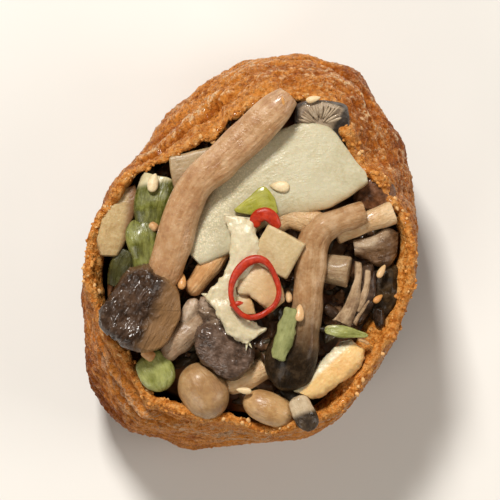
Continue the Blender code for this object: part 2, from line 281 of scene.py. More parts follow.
@dataclass
class Skin:
    """A closed surface: rows of points round a piece, in millimetres, closed by a pole at both ends."""

    rows: Array
    masks: dict[str, Array] = field(default_factory=dict)
    along: Array | None = None
    finish: int = 0

    def normals(self) -> Array:
        """The outward direction at each point."""
        across = np.roll(self.rows, -1, axis=1) - np.roll(self.rows, 1, axis=1)
        ahead = np.gradient(self.rows, axis=0)
        facing = np.cross(across, ahead)
        facing /= np.maximum(np.linalg.norm(facing, axis=2, keepdims=True), 1e-9)
        return facing * (1 if self.volume() > 0 else -1)

    def volume(self) -> float:
        """Signed volume, which is positive where rows and sides already face outwards."""
        middle = self.rows.mean(axis=(0, 1))
        here = self.rows - middle
        beside = np.roll(here, -1, axis=1)
        first = np.einsum("ijk,ijk->ij", here[:-1], np.cross(beside[:-1], beside[1:])).sum()
        second = np.einsum("ijk,ijk->ij", here[:-1], np.cross(beside[1:], here[1:])).sum()
        return float(first + second)

    def lengthwise(self, girth: float, stretch: float) -> Array:
        """Where to read lumps that run along the piece, so many times as long as they are wide."""
        turn, ahead = self.along[..., 0] / girth, self.along[..., 1]
        return joined(np.cos(turn) * girth, np.sin(turn) * girth, ahead / stretch)

    def push(self, height: Array) -> "Skin":
        """Moves every point outwards by its height."""
        self.rows = self.rows + self.normals() * height[..., None]
        return self


@dataclass(frozen=True)
class Morsel:
    """A stalk or strip of food, lofted along a spine."""

    spine: tuple[Stop, ...]
    boxy: float = 2.0
    start: float = 0.0
    end: float = 0.0
    sides: int = 56
    pace: float = 0.4
    bevel: float = 0.35

    def schedule(self, length: float) -> Array:
        """Rows along the spine as (distance, amount cut from each half size, share of the section left).

        Args:
            length: The spine's length.

        Returns:
            The rows, in order.
        """
        rows: list[tuple[float, float, float]] = []
        for dome, flip in ((self.start, False), (self.end, True)):
            part = []
            if dome:
                count = max(5, round(dome / self.pace * 1.4))
                turns = [math.pi / 2 * (k + 0.35) / (count + 0.35) for k in range(count)]
                part = [(dome * (1 - math.cos(t)), 0.0, math.sin(t)) for t in turns]
            else:
                part = [(0.0, self.bevel, share) for share in (0.12, 0.4, 0.7, 0.9)]
                turns = [math.pi / 8 * k for k in range(4)]
                part += [
                    (self.bevel * (1 - math.cos(t)), self.bevel * (1 - math.sin(t)), 1.0) for t in turns
                ]
            if flip:
                tail = [(length - where, cut, share) for where, cut, share in reversed(part)]
            else:
                rows += part
        low = self.start or self.bevel
        high = length - (self.end or self.bevel)
        count = max(3, round((high - low) / self.pace))
        rows += [(low + (high - low) * k / count, 0.0, 1.0) for k in range(count + 1)]
        return np.array(rows + tail)

    def skin(self) -> Skin:
        """The lofted surface, with the masks cut (its end faces) and crown (its upper side).

        Returns:
            The skin, whose along holds (distance round, distance along) for every point.
        """
        stops = np.array(self.spine, float)
        places = np.linspace(0, len(stops) - 1, 500)
        line = along_curve(stops, places)
        gone = walked(line[:, :3])
        length = gone[-1]
        schedule = self.schedule(length)
        where = np.interp(schedule[:, 0], gone, places)
        middle = along_curve(stops, where)
        step = 0.04 * len(stops)
        ahead = along_curve(stops, np.clip(where + step, 0, len(stops) - 1))[:, :3]
        ahead = ahead - along_curve(stops, np.clip(where - step, 0, len(stops) - 1))[:, :3]
        ahead /= np.linalg.norm(ahead, axis=1, keepdims=True)
        side = np.cross((0, 0, 1), ahead)
        side /= np.linalg.norm(side, axis=1, keepdims=True)
        up = np.cross(ahead, side)
        turn = ring(self.sides)
        across, rise = section(turn, self.boxy)
        wide = (middle[:, 3] / 2 - schedule[:, 1]) * schedule[:, 2]
        high = (middle[:, 4] / 2 - schedule[:, 1]) * schedule[:, 2]
        flat = wide[:, None] * across[None]
        tall = high[:, None] * rise[None]
        rows = middle[:, None, :3] + side[:, None] * flat[..., None] + up[:, None] * tall[..., None]
        girth = middle[:, 3].mean() * 1.3 + middle[:, 4].mean() * 1.3
        round_way = fill(turn / TAU * girth, flat)
        along_way = fill(schedule[:, :1], flat)
        cut = fill((schedule[:, 2:] < 1) & (schedule[:, 1:2] > 0), flat).astype(float)
        crown = fill(np.sin(turn), flat)
        share = along_way / length
        masks = {"cut": cut, "crown": crown, "share": share, "edge": fill(np.cos(turn), flat)}
        return Skin(rows, masks, joined(round_way, along_way))


class Facet(NamedTuple):
    """A flattened side: a plane through a place, measured from the middle of a piece, with its slopes."""

    x: float
    y: float
    height: float
    east: float
    north: float


class Edge(NamedTuple):
    """A station of a ribbon: a point on its one side, a point on its other, its height and thickness."""

    left_x: float
    left_y: float
    right_x: float
    right_y: float
    z: float
    thick: float


def sides(*rows: Sequence[float]) -> tuple[Edge, ...]:
    """The stations of a ribbon, from rows of numbers."""
    return tuple(Edge(*row) for row in rows)


@dataclass(frozen=True)
class Ribbon:
    """A flat piece of food between two drawn sides."""

    stations: tuple[Edge, ...]
    boxy: float = 5.0
    sides: int = 96
    rows: int = 90
    bevel: float = 0.35

    def skin(self) -> Skin:
        """The flat piece, closed by bevelled ends, with the masks of a morsel.

        Returns:
            The skin.
        """
        stops = np.array(self.stations, float)
        last = len(stops) - 1
        depth = np.sin(np.linspace(0.12, math.pi / 2, 6))
        fine = 0.12 * (1 - np.cos(np.linspace(0.05, math.pi / 2, 6)))
        share = np.concatenate([fine, np.linspace(0.12, last - 0.12, self.rows), last - fine[::-1]])
        size = np.concatenate([depth, np.ones(self.rows), depth[::-1]])
        held = along_curve(stops, share)
        left = np.concatenate([held[:, :2], held[:, 4:5]], axis=1)
        right = np.concatenate([held[:, 2:4], held[:, 4:5]], axis=1)
        middle, half = (left + right) / 2, (right - left) / 2
        turn = ring(self.sides)
        wide, tall = section(turn, self.boxy)
        trim = 1 - self.bevel * (1 - size) / np.maximum(np.linalg.norm(half, axis=1), 0.5)
        rows = middle[:, None] + half[:, None] * (wide[None, :, None] * trim[:, None, None])
        rows[..., 2] += held[:, 5:6] / 2 * size[:, None] * tall
        across = np.linalg.norm(half, axis=1)[:, None] * wide
        gone = walked(middle)
        along_way = fill(gone[:, None], across)
        masks = {
            "cut": fill(size[:, None] < 1, across).astype(float),
            "crown": fill(np.sin(turn), across),
            "share": along_way / gone[-1],
            "edge": fill(wide, across),
        }
        return Skin(rows, masks, joined(across, along_way))


Body = Morsel | Ribbon


@dataclass(frozen=True)
class Pebble:
    """A compact morsel: a plan outline, crowned above and below, with flattened sides."""

    centre: Place
    outline: Numbers
    rise: float
    drop: float
    square: float = 2.0
    sides: int = 96
    rings: int = 44
    facets: tuple[Facet, ...] = ()
    soft: float = 0.7

    def skin(self) -> Skin:
        """The surface from its top pole to its bottom pole.

        Returns:
            The skin, with the masks edge (0 in the middle to 1 at the outline) and crown.
        """
        turn = ring(self.sides)
        radius = compass(self.outline, turn)
        down = math.pi * (np.arange(self.rings) + 0.5) / self.rings
        out = np.sin(down) ** (2 / self.square)
        high = np.sign(np.cos(down)) * np.abs(np.cos(down)) ** (2 / self.square)
        high = np.where(high > 0, high * self.rise, high * self.drop)
        x = out[:, None] * (radius * np.cos(turn))[None]
        y = out[:, None] * (radius * np.sin(turn))[None]
        z = fill(high[:, None], x)
        for facet in self.facets:
            plane = facet.height + (x - facet.x) * facet.east + (y - facet.y) * facet.north
            z = np.where(high[:, None] > 0, soft_least(z, np.maximum(plane, 0.1 * z), self.soft), z)
        rows = joined(x, y, z) + np.array(self.centre)
        edge = fill(out[:, None], x)
        crown = fill(np.cos(down)[:, None], x)
        round_way = fill(turn * radius.mean(), x)
        return Skin(rows, {"edge": edge, "crown": crown}, joined(round_way, edge * radius.mean()))


# ---- node trees


class Wiring:
    """Adds nodes to one tree and joins them up."""

    def __init__(self, tree: bpy.types.NodeTree) -> None:
        """Starts on a tree, which may already hold nodes."""
        self.tree = tree

    def add(self, kind: str, inputs: dict | None = None, **settings: object) -> bpy.types.Node:
        """Adds a node.

        Args:
            kind: The node's type.
            inputs: Values or sockets, keyed by the input's name or number.
            settings: The node's own properties.

        Returns:
            The node.
        """
        node = self.tree.nodes.new(kind)
        node.location = (200 * (len(self.tree.nodes) % 9), -180 * (len(self.tree.nodes) // 9))
        for name, value in settings.items():
            setattr(node, name, value)
        for name, value in (inputs or {}).items():
            self.feed(node.inputs[name], value)
        return node

    def feed(self, socket: Socket, value: object) -> None:
        """Links a socket, or sets its value."""
        if isinstance(value, bpy.types.NodeSocket):
            self.tree.links.new(value, socket)
        elif socket.type == "RGBA" and len(value) == 3:
            socket.default_value = (*value, 1)
        else:
            socket.default_value = value

    def place(self) -> Socket:
        """Object coordinates, in metres."""
        return self.add("ShaderNodeTexCoord").outputs["Object"]

    def skin_map(self) -> Socket:
        """The piece's own map: millimetres round it and along it."""
        return self.add("ShaderNodeUVMap", uv_map=SKIN_MAP).outputs["UV"]

    def mask(self, name: str) -> Socket:
        """A mask that the piece carries."""
        return self.add("ShaderNodeAttribute", attribute_name=name).outputs["Fac"]

    def scale(self, vector: Socket, factors: Sequence[float]) -> Socket:
        """Stretches a pattern by axis."""
        return self.add("ShaderNodeMapping", {"Vector": vector, "Scale": tuple(factors)}).outputs["Vector"]

    def noise(
        self, vector: Socket, scale: object, detail: float = 3, rough: float = 0.55, twist: float = 0
    ) -> Socket:
        """Cloudy noise from 0 to 1."""
        values = {
            "Vector": vector, "Scale": scale, "Detail": detail, "Roughness": rough, "Distortion": twist
        }
        return self.add("ShaderNodeTexNoise", values).outputs["Fac"]

    def cells(self, vector: Socket, scale: object) -> Socket:
        """Distance to the nearest of many scattered spots."""
        node = self.add("ShaderNodeTexVoronoi", {"Vector": vector, "Scale": scale}, feature="F1")
        return node.outputs["Distance"]

    def maths(self, operation: str, first: object, second: object = 0.0, clamp: bool = False) -> Socket:
        """A sum on two values."""
        node = self.add("ShaderNodeMath", {0: first, 1: second}, operation=operation, use_clamp=clamp)
        return node.outputs[0]

    def times(self, first: object, second: object) -> Socket:
        """The product of two values."""
        return self.maths("MULTIPLY", first, second)

    def plus(self, first: object, second: object, clamp: bool = False) -> Socket:
        """The total of two values, kept between 0 and 1 where clamp says so."""
        return self.maths("ADD", first, second, clamp)

    def less(self, first: object, second: object) -> Socket:
        """The first value without the second."""
        return self.maths("SUBTRACT", first, second)

    def over(self, first: object, second: object) -> Socket:
        """The first value divided by the second."""
        return self.maths("DIVIDE", first, second)

    def span(self, value: Socket, low: float, high: float, to_low: float = 0, to_high: float = 1) -> Socket:
        """Reads value from low to high as to_low to to_high, smoothly and no further."""
        inputs = {"Value": value, "From Min": low, "From Max": high, "To Min": to_low, "To Max": to_high}
        return self.add("ShaderNodeMapRange", inputs, interpolation_type="SMOOTHSTEP").outputs["Result"]

    def ramp(self, value: Socket, stops: Sequence[tuple[float, Colour]]) -> Socket:
        """Colours in order along a value.

        Args:
            value: Where the colour is read.
            stops: Each colour with its place.

        Returns:
            The colour.
        """
        node = self.add("ShaderNodeValToRGB", {"Fac": value})
        elements = node.color_ramp.elements
        while len(elements) < len(stops):
            elements.new(0.5)
        for element, (position, colour) in zip(elements, stops):
            element.position = position
            element.color = (*colour, 1)
        return node.outputs["Color"]

    def blend(self, share: object, first: object, second: object) -> Socket:
        """Mixes two colours."""
        node = self.add("ShaderNodeMix", {0: share, 6: first, 7: second}, data_type="RGBA")
        return node.outputs[2]

    def bump(
        self, height: Socket, distance: float, strength: float = 1.0, normal: Socket | None = None
    ) -> Socket:
        """Turns a height into a normal. The distance is in metres."""
        node = self.add("ShaderNodeBump", {"Height": height, "Distance": distance, "Strength": strength})
        if normal is not None:
            self.feed(node.inputs["Normal"], normal)
        return node.outputs["Normal"]

    def effect(self, name: str, **values: object) -> bpy.types.Node:
        """Places one of the shared effects."""
        node = self.add("ShaderNodeGroup", node_tree=bpy.data.node_groups[name])
        for key, value in values.items():
            self.feed(node.inputs[key.replace("_", " ").capitalize()], value)
        return node

    def streaks(self, width: float, stretch: float) -> Socket:
        """Streaks along the piece, of a width in millimetres and so many times as long."""
        fibres = self.effect(Effects.FIBRES, vector=self.skin_map(), width=width, stretch=stretch)
        return fibres.outputs["Value"]

    def clouds(self, size: float, fineness: float) -> Socket:
        """Uneven clouds of a size in metres, broken up by finer ones."""
        mottle = self.effect(Effects.MOTTLE, vector=self.place(), size=size, fineness=fineness)
        return mottle.outputs["Value"]


class Effects:
    """The effects that several finishes share, each a node group."""

    MOTTLE = "mottle"
    FIBRES = "fibres"
    PORES = "pores"
    WET = "wet film"

    @staticmethod
    def start(name: str, result: str, *values: str) -> tuple[Wiring, dict[str, Socket], Socket]:
        """Opens a group that reads a place and some numbers, and gives one number.

        Args:
            name: The group's name.
            result: The name of what it gives.
            values: The names of its numbers.

        Returns:
            Its wiring, its input sockets by name, and the socket that takes the result.
        """
        tree = bpy.data.node_groups.new(name, "ShaderNodeTree")
        tree.interface.new_socket(name="Vector", in_out="INPUT", socket_type="NodeSocketVector")
        for title in values:
            tree.interface.new_socket(name=title, in_out="INPUT", socket_type="NodeSocketFloat")
        tree.interface.new_socket(name=result, in_out="OUTPUT", socket_type="NodeSocketFloat")
        wiring = Wiring(tree)
        got = wiring.add("NodeGroupInput").outputs
        end = wiring.add("NodeGroupOutput").inputs[result]
        return wiring, {title: got[title] for title in ("Vector", *values)}, end

    def build(self) -> None:
        """Builds every group once."""
        self.mottle()
        self.fibres()
        self.pores()
        self.wet()

    def mottle(self) -> None:
        """Uneven colouring: broad clouds broken up by small ones."""
        wiring, got, end = self.start(self.MOTTLE, "Value", "Size", "Fineness")
        broad_scale = wiring.over(1.0, got["Size"])
        fine_scale = wiring.times(broad_scale, got["Fineness"])
        broad = wiring.noise(got["Vector"], broad_scale, 2, 0.5, 0.4)
        fine = wiring.noise(got["Vector"], fine_scale, 4, 0.6, 0.2)
        value = wiring.times(wiring.plus(broad, fine), 0.5)
        wiring.feed(end, wiring.span(value, 0.34, 0.66))

    def fibres(self) -> None:
        """Long streaks that run along a piece."""
        wiring, got, end = self.start(self.FIBRES, "Value", "Width", "Stretch")
        across = wiring.over(1.0, got["Width"])
        ahead = wiring.over(across, got["Stretch"])
        spread = wiring.add("ShaderNodeCombineXYZ", {"X": across, "Y": ahead, "Z": 1.0}).outputs[0]
        inputs = {0: got["Vector"], 1: spread}
        stretched = wiring.add("ShaderNodeVectorMath", inputs, operation="MULTIPLY").outputs[0]
        value = wiring.noise(stretched, 1.0, 4, 0.6, 0.3)
        wiring.feed(end, wiring.span(value, 0.3, 0.7))

    def pores(self) -> None:
        """Small open pores and crumbs, for a torn or fried face."""
        wiring, got, end = self.start(self.PORES, "Height", "Size")
        scale = wiring.over(1.0, got["Size"])
        holes = wiring.span(wiring.cells(got["Vector"], scale), 0.05, 0.65)
        crumbs = wiring.noise(got["Vector"], wiring.times(scale, 1.7), 3, 0.6)
        height = wiring.plus(wiring.times(holes, 0.6), wiring.times(crumbs, 0.7))
        wiring.feed(end, height)

    def wet(self) -> None:
        """A broken film of juice: how rough the surface is where it lies and where it doesn't."""
        wiring, got, end = self.start(self.WET, "Roughness", "Size", "Wet", "Dry")
        scale = wiring.over(1.0, got["Size"])
        film = wiring.span(wiring.noise(got["Vector"], scale, 3, 0.6, 0.5), 0.42, 0.6)
        reach = wiring.less(got["Dry"], got["Wet"])
        wiring.feed(end, wiring.plus(got["Wet"], wiring.times(film, reach)))


# ---- finishes


@dataclass(frozen=True)
class Finish:
    """What every finish says: how far light soaks in, and how glossy its wet coat is."""

    name: str
    soak: float = 0.15
    soak_depth: float = 0.0012
    coat: float = 0.25
    coat_rough: float = 0.25
    shine: float = 0.5
    wet: float = 0.28
    dry: float = 0.55
    film: float = 0.0022

    def colour(self, wiring: Wiring) -> Socket:
        """The surface's colour."""
        raise NotImplementedError

    def normal(self, wiring: Wiring) -> Socket:
        """The surface's fine relief."""
        raise NotImplementedError

    def gloss(self, wiring: Wiring) -> dict[str, Socket]:
        """Gloss that changes over the piece: sockets by the name of the shader's input."""
        return {}

    def material(self) -> bpy.types.Material:
        """Builds the material, or gives the one that was built before.

        Returns:
            The material.
        """
        made = bpy.data.materials.get(self.name)
        if made is not None:
            return made
        made = bpy.data.materials.new(self.name)
        made.use_nodes = True
        wiring = Wiring(made.node_tree)
        shader = made.node_tree.nodes["Principled BSDF"]
        rough = wiring.effect(Effects.WET, vector=wiring.place(), size=self.film, wet=self.wet, dry=self.dry)
        wiring.feed(shader.inputs["Base Color"], self.colour(wiring))
        wiring.feed(shader.inputs["Roughness"], rough.outputs["Roughness"])
        wiring.feed(shader.inputs["Normal"], self.normal(wiring))
        constants = {
            "Subsurface Weight": self.soak,
            "Subsurface Scale": self.soak_depth,
            "Subsurface Radius": (1.0, 0.6, 0.35),
            "Coat Weight": self.coat,
            "Coat Roughness": self.coat_rough,
            "Specular IOR Level": self.shine,
        }
        for title, value in constants.items():
            shader.inputs[title].default_value = value
        for title, value in self.gloss(wiring).items():
            wiring.feed(shader.inputs[title], value)
        made.diffuse_color = (0.6, 0.5, 0.4, 1)
        return made


@dataclass(frozen=True)
class FriedTofuFinish(Finish):
    """Deep-fried tofu skin simmered in sweet soy: crinkled outside, crumbly at its torn rim."""

    # Painted shade colour for the lower wall.
    deep: Colour = (0.15, 0.028, 0.002)
    mid: Colour = (0.36, 0.090, 0.008)
    bright: Colour = (0.66, 0.240, 0.040)
    dried: Colour = (0.60, 0.43, 0.29)
    # Painted shade for crevices and pits.
    pit: Colour = (0.22, 0.050, 0.004)
    # Painted glint colour for specks on crests and for thin wrinkle lines.
    crest: Colour = (0.82, 0.54, 0.29)
    torn: Colour = (0.74, 0.37, 0.115)
    shade: Colour = (0.24, 0.050, 0.008)

    def gloss(self, wiring: Wiring) -> dict[str, Socket]:
        """The juice that glazes the hood has run off the front."""
        crests = wiring.span(wiring.mask("relief"), 0.3, 0.9, 0.1, self.coat)
        return {"Coat Weight": wiring.times(wiring.mask("pale"), crests)}

    def colour(self, wiring: Wiring) -> Socket:
        """Brown with dry wrinkled patches and a bright rim; crests and wrinkle lines get painted glints, and
        crevices, pits, the lower wall and the inside get painted shade.

        Args:
            wiring: The material's wiring.

        Returns:
            The colour.
        """
        place = wiring.place()
        cloud = wiring.clouds(0.0055, 5.0)
        relief = wiring.mask("relief")
        # Raised relief is painted lighter, and low relief falls to the painted crevice shade.
        mixed = wiring.plus(wiring.times(cloud, 0.5), wiring.times(relief, 0.38))
        # Painted light: the mask sun lightens the sides that face the light.
        mixed = wiring.plus(mixed, wiring.times(wiring.mask("sun"), 0.3))
        skin = wiring.ramp(mixed, [(0.1, self.pit), (0.42, self.mid), (0.8, self.bright)])
        # Painted glints: pale specks on high relief, spread most over the back and the dry front.
        speck = wiring.noise(place, 1100, 3, 0.65, 0.5)
        lit = wiring.times(wiring.span(relief, 0.4, 0.9), wiring.span(speck, 0.45, 0.58))
        glint_reach = wiring.span(wiring.mask("pale"), 0.2, 0.9, 0.3, 1.0)
        skin = wiring.blend(wiring.times(wiring.mask("dry"), 0.5), skin, self.bright)
        strewn = wiring.maths("MAXIMUM", glint_reach, wiring.times(wiring.mask("dry"), 0.9))
        skin = wiring.blend(wiring.times(wiring.times(lit, 0.95), strewn), skin, self.crest)
        # Painted glints along thin wrinkle lines.
        curl = wiring.maths("ABSOLUTE", wiring.less(wiring.noise(place, 520, 5, 0.7, 0.9), 0.5))
        vein = wiring.times(
            wiring.span(curl, 0.022, 0.0), wiring.span(wiring.noise(place, 260, 2), 0.45, 0.6)
        )
        reach = wiring.plus(wiring.times(glint_reach, 0.6), wiring.mask("dry"), True)
        skin = wiring.blend(wiring.times(vein, reach), skin, self.crest)
        drawn = wiring.noise(wiring.scale(wiring.skin_map(), (0.28, 0.9, 1.0)), 1.0, 5, 0.68, 0.6)
        patch = wiring.times(wiring.span(drawn, 0.495, 0.56), wiring.mask("dry"))
        skin = wiring.blend(wiring.times(patch, 0.85), skin, self.dried)
        # Painted shade in small pits.
        pits = wiring.span(wiring.noise(place, 800, 4, 0.65, 0.6), 0.46, 0.34)
        skin = wiring.blend(wiring.times(pits, 0.6), skin, self.pit)
        # Painted shade: the lower wall darkens, most on the sides that dusk marks.
        skin = wiring.blend(wiring.times(wiring.mask("low"), 0.88), skin, self.deep)
        grain = wiring.span(wiring.noise(place, 900, 4, 0.65), 0.3, 0.7)
        edge = wiring.ramp(grain, [(0.0, self.mid), (0.4, self.bright), (0.9, self.torn)])
        skin = wiring.blend(wiring.mask("rim"), skin, edge)
        hollow = wiring.blend(wiring.mask("depth"), edge, self.shade)
        return wiring.blend(wiring.mask("inside"), skin, hollow)

    def normal(self, wiring: Wiring) -> Socket:
        """Fine crinkles everywhere, and pores near the rim."""
        place = wiring.place()
        crinkle = wiring.noise(place, 1100, 4, 0.65, 0.8)
        normal = wiring.bump(crinkle, 0.0009, 1.0)
        pores = wiring.effect(Effects.PORES, vector=place, size=0.0006).outputs["Height"]
        return wiring.bump(pores, 0.0003, 0.7, normal)


@dataclass(frozen=True)
class MushroomFinish(Finish):
    """Simmered mushroom: a streaky stem that turns into a darker cap where the mask cap says."""

    stem: tuple[Colour, Colour, Colour] = ((0.36, 0.19, 0.085), (0.58, 0.36, 0.19), (0.72, 0.52, 0.34))
    cap: tuple[Colour, Colour, Colour] = ((0.045, 0.024, 0.015), (0.10, 0.058, 0.038), (0.20, 0.135, 0.10))
    tan: Colour = (0.25, 0.135, 0.06)
    streak: float = 0.9
    wrinkle: float = 0.0011
    crinkle: float = 0.0002
    ridge: float = 0.0001
    grain: float = 0.00013
    dull_side: bool = False

    def gloss(self, wiring: Wiring) -> dict[str, Socket]:
        """A cap whose tan side has dried is dull there and wet elsewhere."""
        if not self.dull_side:
            return {}
        return {"Coat Weight": wiring.span(wiring.mask("tan"), 0, 1, self.coat, 0.0)}

    def colour(self, wiring: Wiring) -> Socket:
        """Streaks on the stem, clouds on the cap.

        Args:
            wiring: The material's wiring.

        Returns:
            The colour.
        """
        place = wiring.place()
        streaks = wiring.streaks(self.streak, 9.0)
        cloud = wiring.clouds(0.004, 4.0)
        mixed = wiring.plus(wiring.times(streaks, 0.4), wiring.times(cloud, 0.6))
        low, mid, high = self.stem
        stem = wiring.ramp(mixed, [(0.0, low), (0.5, mid), (1.0, high)])
        low, mid, high = self.cap
        fine = wiring.noise(place, 700, 5, 0.7, 0.4)
        spread = wiring.plus(wiring.times(fine, 0.6), wiring.times(cloud, 0.4))
        cap = wiring.ramp(spread, [(0.25, low), (0.5, mid), (0.8, high)])
        cap = wiring.blend(wiring.times(wiring.mask("shade"), 0.9), cap, self.cap[0])
        cap = wiring.blend(wiring.mask("tan"), cap, self.tan)
        stem = wiring.blend(wiring.times(wiring.mask("shade"), 0.6), stem, self.stem[0])
        return wiring.blend(wiring.mask("cap"), stem, cap)

    def normal(self, wiring: Wiring) -> Socket:
        """Fine ridges along the stem and crinkles on the cap."""
        place = wiring.place()
        ridges = wiring.bump(wiring.streaks(0.45, 7.0), self.ridge, 0.8)
        crinkle = wiring.noise(place, 1.0 / self.wrinkle, 4, 0.6, 0.8)
        rough = wiring.bump(crinkle, self.crinkle, 0.8, ridges)
        return wiring.bump(wiring.noise(place, 2000, 2, 0.5), self.grain, 0.7, rough)


@dataclass(frozen=True)
class BambooFinish(Finish):
    """Boiled bamboo shoot: cream and faintly grained, tan where the mask tan says."""

    pale: Colour = (0.80, 0.70, 0.46)
    mid: Colour = (0.72, 0.60, 0.35)
    tan: Colour = (0.47, 0.31, 0.14)
    frost: Colour = (0.88, 0.76, 0.54)
    spot: Colour = (0.30, 0.27, 0.16)
    fibre: float = 0.5
    dot: float = 0.0

    def colour(self, wiring: Wiring) -> Socket:
        """Cream with fine fibres, a tan side and painted glint specks.

        Args:
            wiring: The material's wiring.

        Returns:
            The colour.
        """
        place = wiring.place()
        streaks = wiring.streaks(self.fibre, 12.0)
        cloud = wiring.clouds(0.006, 9.0)
        mixed = wiring.plus(wiring.times(streaks, 0.2), wiring.times(cloud, 0.8))
        cream = wiring.ramp(mixed, [(0.1, self.mid), (0.7, self.pale)])
        body = wiring.blend(wiring.mask("tan"), cream, self.tan)
        # Painted glints: pale specks where the mask says.
        speck = wiring.span(wiring.noise(place, 3400, 2, 0.5), 0.5, 0.64)
        speck = wiring.times(speck, 0.6)
        body = wiring.blend(wiring.times(speck, wiring.mask("frost")), body, self.frost)
        dot = wiring.span(wiring.noise(place, 420, 3, 0.6), 0.62, 0.72)
        return wiring.blend(wiring.times(dot, self.dot), body, self.spot)

    def normal(self, wiring: Wiring) -> Socket:
        """Faint fibres and a moist grain."""
        fibres = wiring.bump(wiring.streaks(0.3, 14.0), 0.00005, 0.4)
        return wiring.bump(wiring.noise(wiring.place(), 1400, 3, 0.6), 0.00018, 0.8, fibres)


@dataclass(frozen=True)
class LeekFinish(Finish):
    """Blanched leek: ribbed green, pale where the mask pale says."""

    deep: Colour = (0.085, 0.095, 0.012)
    mid: Colour = (0.20, 0.21, 0.045)
    light: Colour = (0.36, 0.37, 0.115)
    pale: Colour = (0.60, 0.52, 0.30)
    rib: float = 0.00012

    def colour(self, wiring: Wiring) -> Socket:
        """Green in streaks, fading to its pale part.

        Args:
            wiring: The material's wiring.

        Returns:
            The colour.
        """
        streaks = wiring.streaks(0.7, 6.0)
        cloud = wiring.clouds(0.003, 4.0)
        mixed = wiring.plus(wiring.times(streaks, 0.45), wiring.times(cloud, 0.3))
        # The mask light paints the upper side lighter: painted light.
        mixed = wiring.plus(mixed, wiring.times(wiring.mask("light"), 0.45))
        green = wiring.ramp(mixed, [(0.1, self.deep), (0.45, self.mid), (0.9, self.light)])
        return wiring.blend(wiring.mask("pale"), green, self.pale)

    def normal(self, wiring: Wiring) -> Socket:
        """Fine ribs along the leaf."""
        ribs = wiring.bump(wiring.streaks(0.35, 9.0), self.rib, 0.8)
        return wiring.bump(wiring.noise(wiring.place(), 1100, 3, 0.6), 0.0001, 0.6, ribs)


@dataclass(frozen=True)
class PlainFoodFinish(Finish):
    """Two close shades of one colour, for small things: dark and light mix by cloud and by the mask tint."""

    dark: Colour = (0.3, 0.02, 0.006)
    light: Colour = (0.5, 0.04, 0.01)
    other: Colour = (0.5, 0.04, 0.01)
    cloud: float = 0.0015
    grain: float = 1500.0

    def colour(self, wiring: Wiring) -> Socket:
        """A mottled shade, replaced by the other colour where the mask tint says."""
        cloud = wiring.clouds(self.cloud, 3.0)
        body = wiring.ramp(cloud, [(0.0, self.dark), (1.0, self.light)])
        return wiring.blend(wiring.mask("tint"), body, self.other)

    def normal(self, wiring: Wiring) -> Socket:
        """A fine moist grain."""
        return wiring.bump(wiring.noise(wiring.place(), self.grain, 3, 0.6), 0.0002, 0.6)


TOFU = FriedTofuFinish(
    "fried_tofu_skin", soak=0.06, coat=0.45, coat_rough=0.1, shine=0.06, wet=0.3, dry=0.7, film=0.0013
)
PALE_MUSHROOM = MushroomFinish(
    "pale_mushroom_flesh", soak=0.2, coat=0.35, coat_rough=0.16,
    stem=((0.34, 0.155, 0.058), (0.47, 0.26, 0.118), (0.60, 0.39, 0.22)), ridge=0.0001, grain=0.00016,
)
STUB_MUSHROOM = replace(
    PALE_MUSHROOM, name="stub_mushroom_flesh", coat=0.12, shine=0.25,
    stem=((0.24, 0.14, 0.07), (0.33, 0.22, 0.12), (0.43, 0.32, 0.19)),
)
TORN_FLESH = replace(
    PALE_MUSHROOM, name="torn_mushroom_flesh",
    stem=((0.26, 0.16, 0.10), (0.46, 0.33, 0.22), (0.72, 0.58, 0.44)),
)
# Its cap colours are the cap's own dark brown, darkened further with painted shade because the cap lies in
# shadow.
BROWN_MUSHROOM = MushroomFinish(
    "brown_mushroom_flesh", soak=0.15, coat=0.2, coat_rough=0.2,
    stem=((0.29, 0.135, 0.052), (0.42, 0.245, 0.118), (0.55, 0.37, 0.22)),
    cap=((0.006, 0.003, 0.0003), (0.020, 0.010, 0.003), (0.066, 0.040, 0.020)), shine=0.1,
)
AMBER_MUSHROOM = replace(
    BROWN_MUSHROOM, name="amber_mushroom_flesh",
    stem=((0.44, 0.20, 0.07), (0.60, 0.34, 0.15), (0.72, 0.47, 0.25)),
)
BEAN_MUSHROOM = MushroomFinish(
    "bean_mushroom_cap", soak=0.25, coat=0.35,
    stem=((0.28, 0.14, 0.055), (0.40, 0.23, 0.095), (0.52, 0.33, 0.155)), streak=5.0, wrinkle=0.003,
    crinkle=0.0001,
)
AMBER_BEAN = replace(
    BEAN_MUSHROOM, name="amber_bean_cap", stem=((0.36, 0.18, 0.06), (0.52, 0.31, 0.13), (0.62, 0.40, 0.19))
)
DARK_MUSHROOM = MushroomFinish(
    "dark_mushroom_flesh", soak=0.04, coat=0.26, coat_rough=0.08, wet=0.2,
    stem=((0.10, 0.055, 0.03), (0.27, 0.175, 0.10), (0.46, 0.33, 0.20)),
    cap=((0.010, 0.004, 0.001), (0.040, 0.019, 0.009), (0.105, 0.060, 0.036)), tan=(0.21, 0.105, 0.040),
    shine=0.2, crinkle=0.00042, wrinkle=0.0015, grain=0.00005,
)
LONG_CAP = replace(
    DARK_MUSHROOM, name="long_mushroom_cap",
    cap=((0.014, 0.006, 0.002), (0.046, 0.022, 0.011), (0.110, 0.063, 0.038)), tan=(0.27, 0.145, 0.060),
    coat=0.42, coat_rough=0.12, crinkle=0.0003, wrinkle=0.0019, grain=0.00003, dull_side=True,
)
TORN_CAP_SKIN = replace(
    DARK_MUSHROOM, name="torn_cap_skin",
    stem=((0.12, 0.075, 0.045), (0.29, 0.195, 0.125), (0.48, 0.36, 0.27)),
    cap=((0.026, 0.014, 0.008), (0.098, 0.057, 0.037), (0.20, 0.13, 0.095)), coat=0.45, crinkle=0.0003,
)
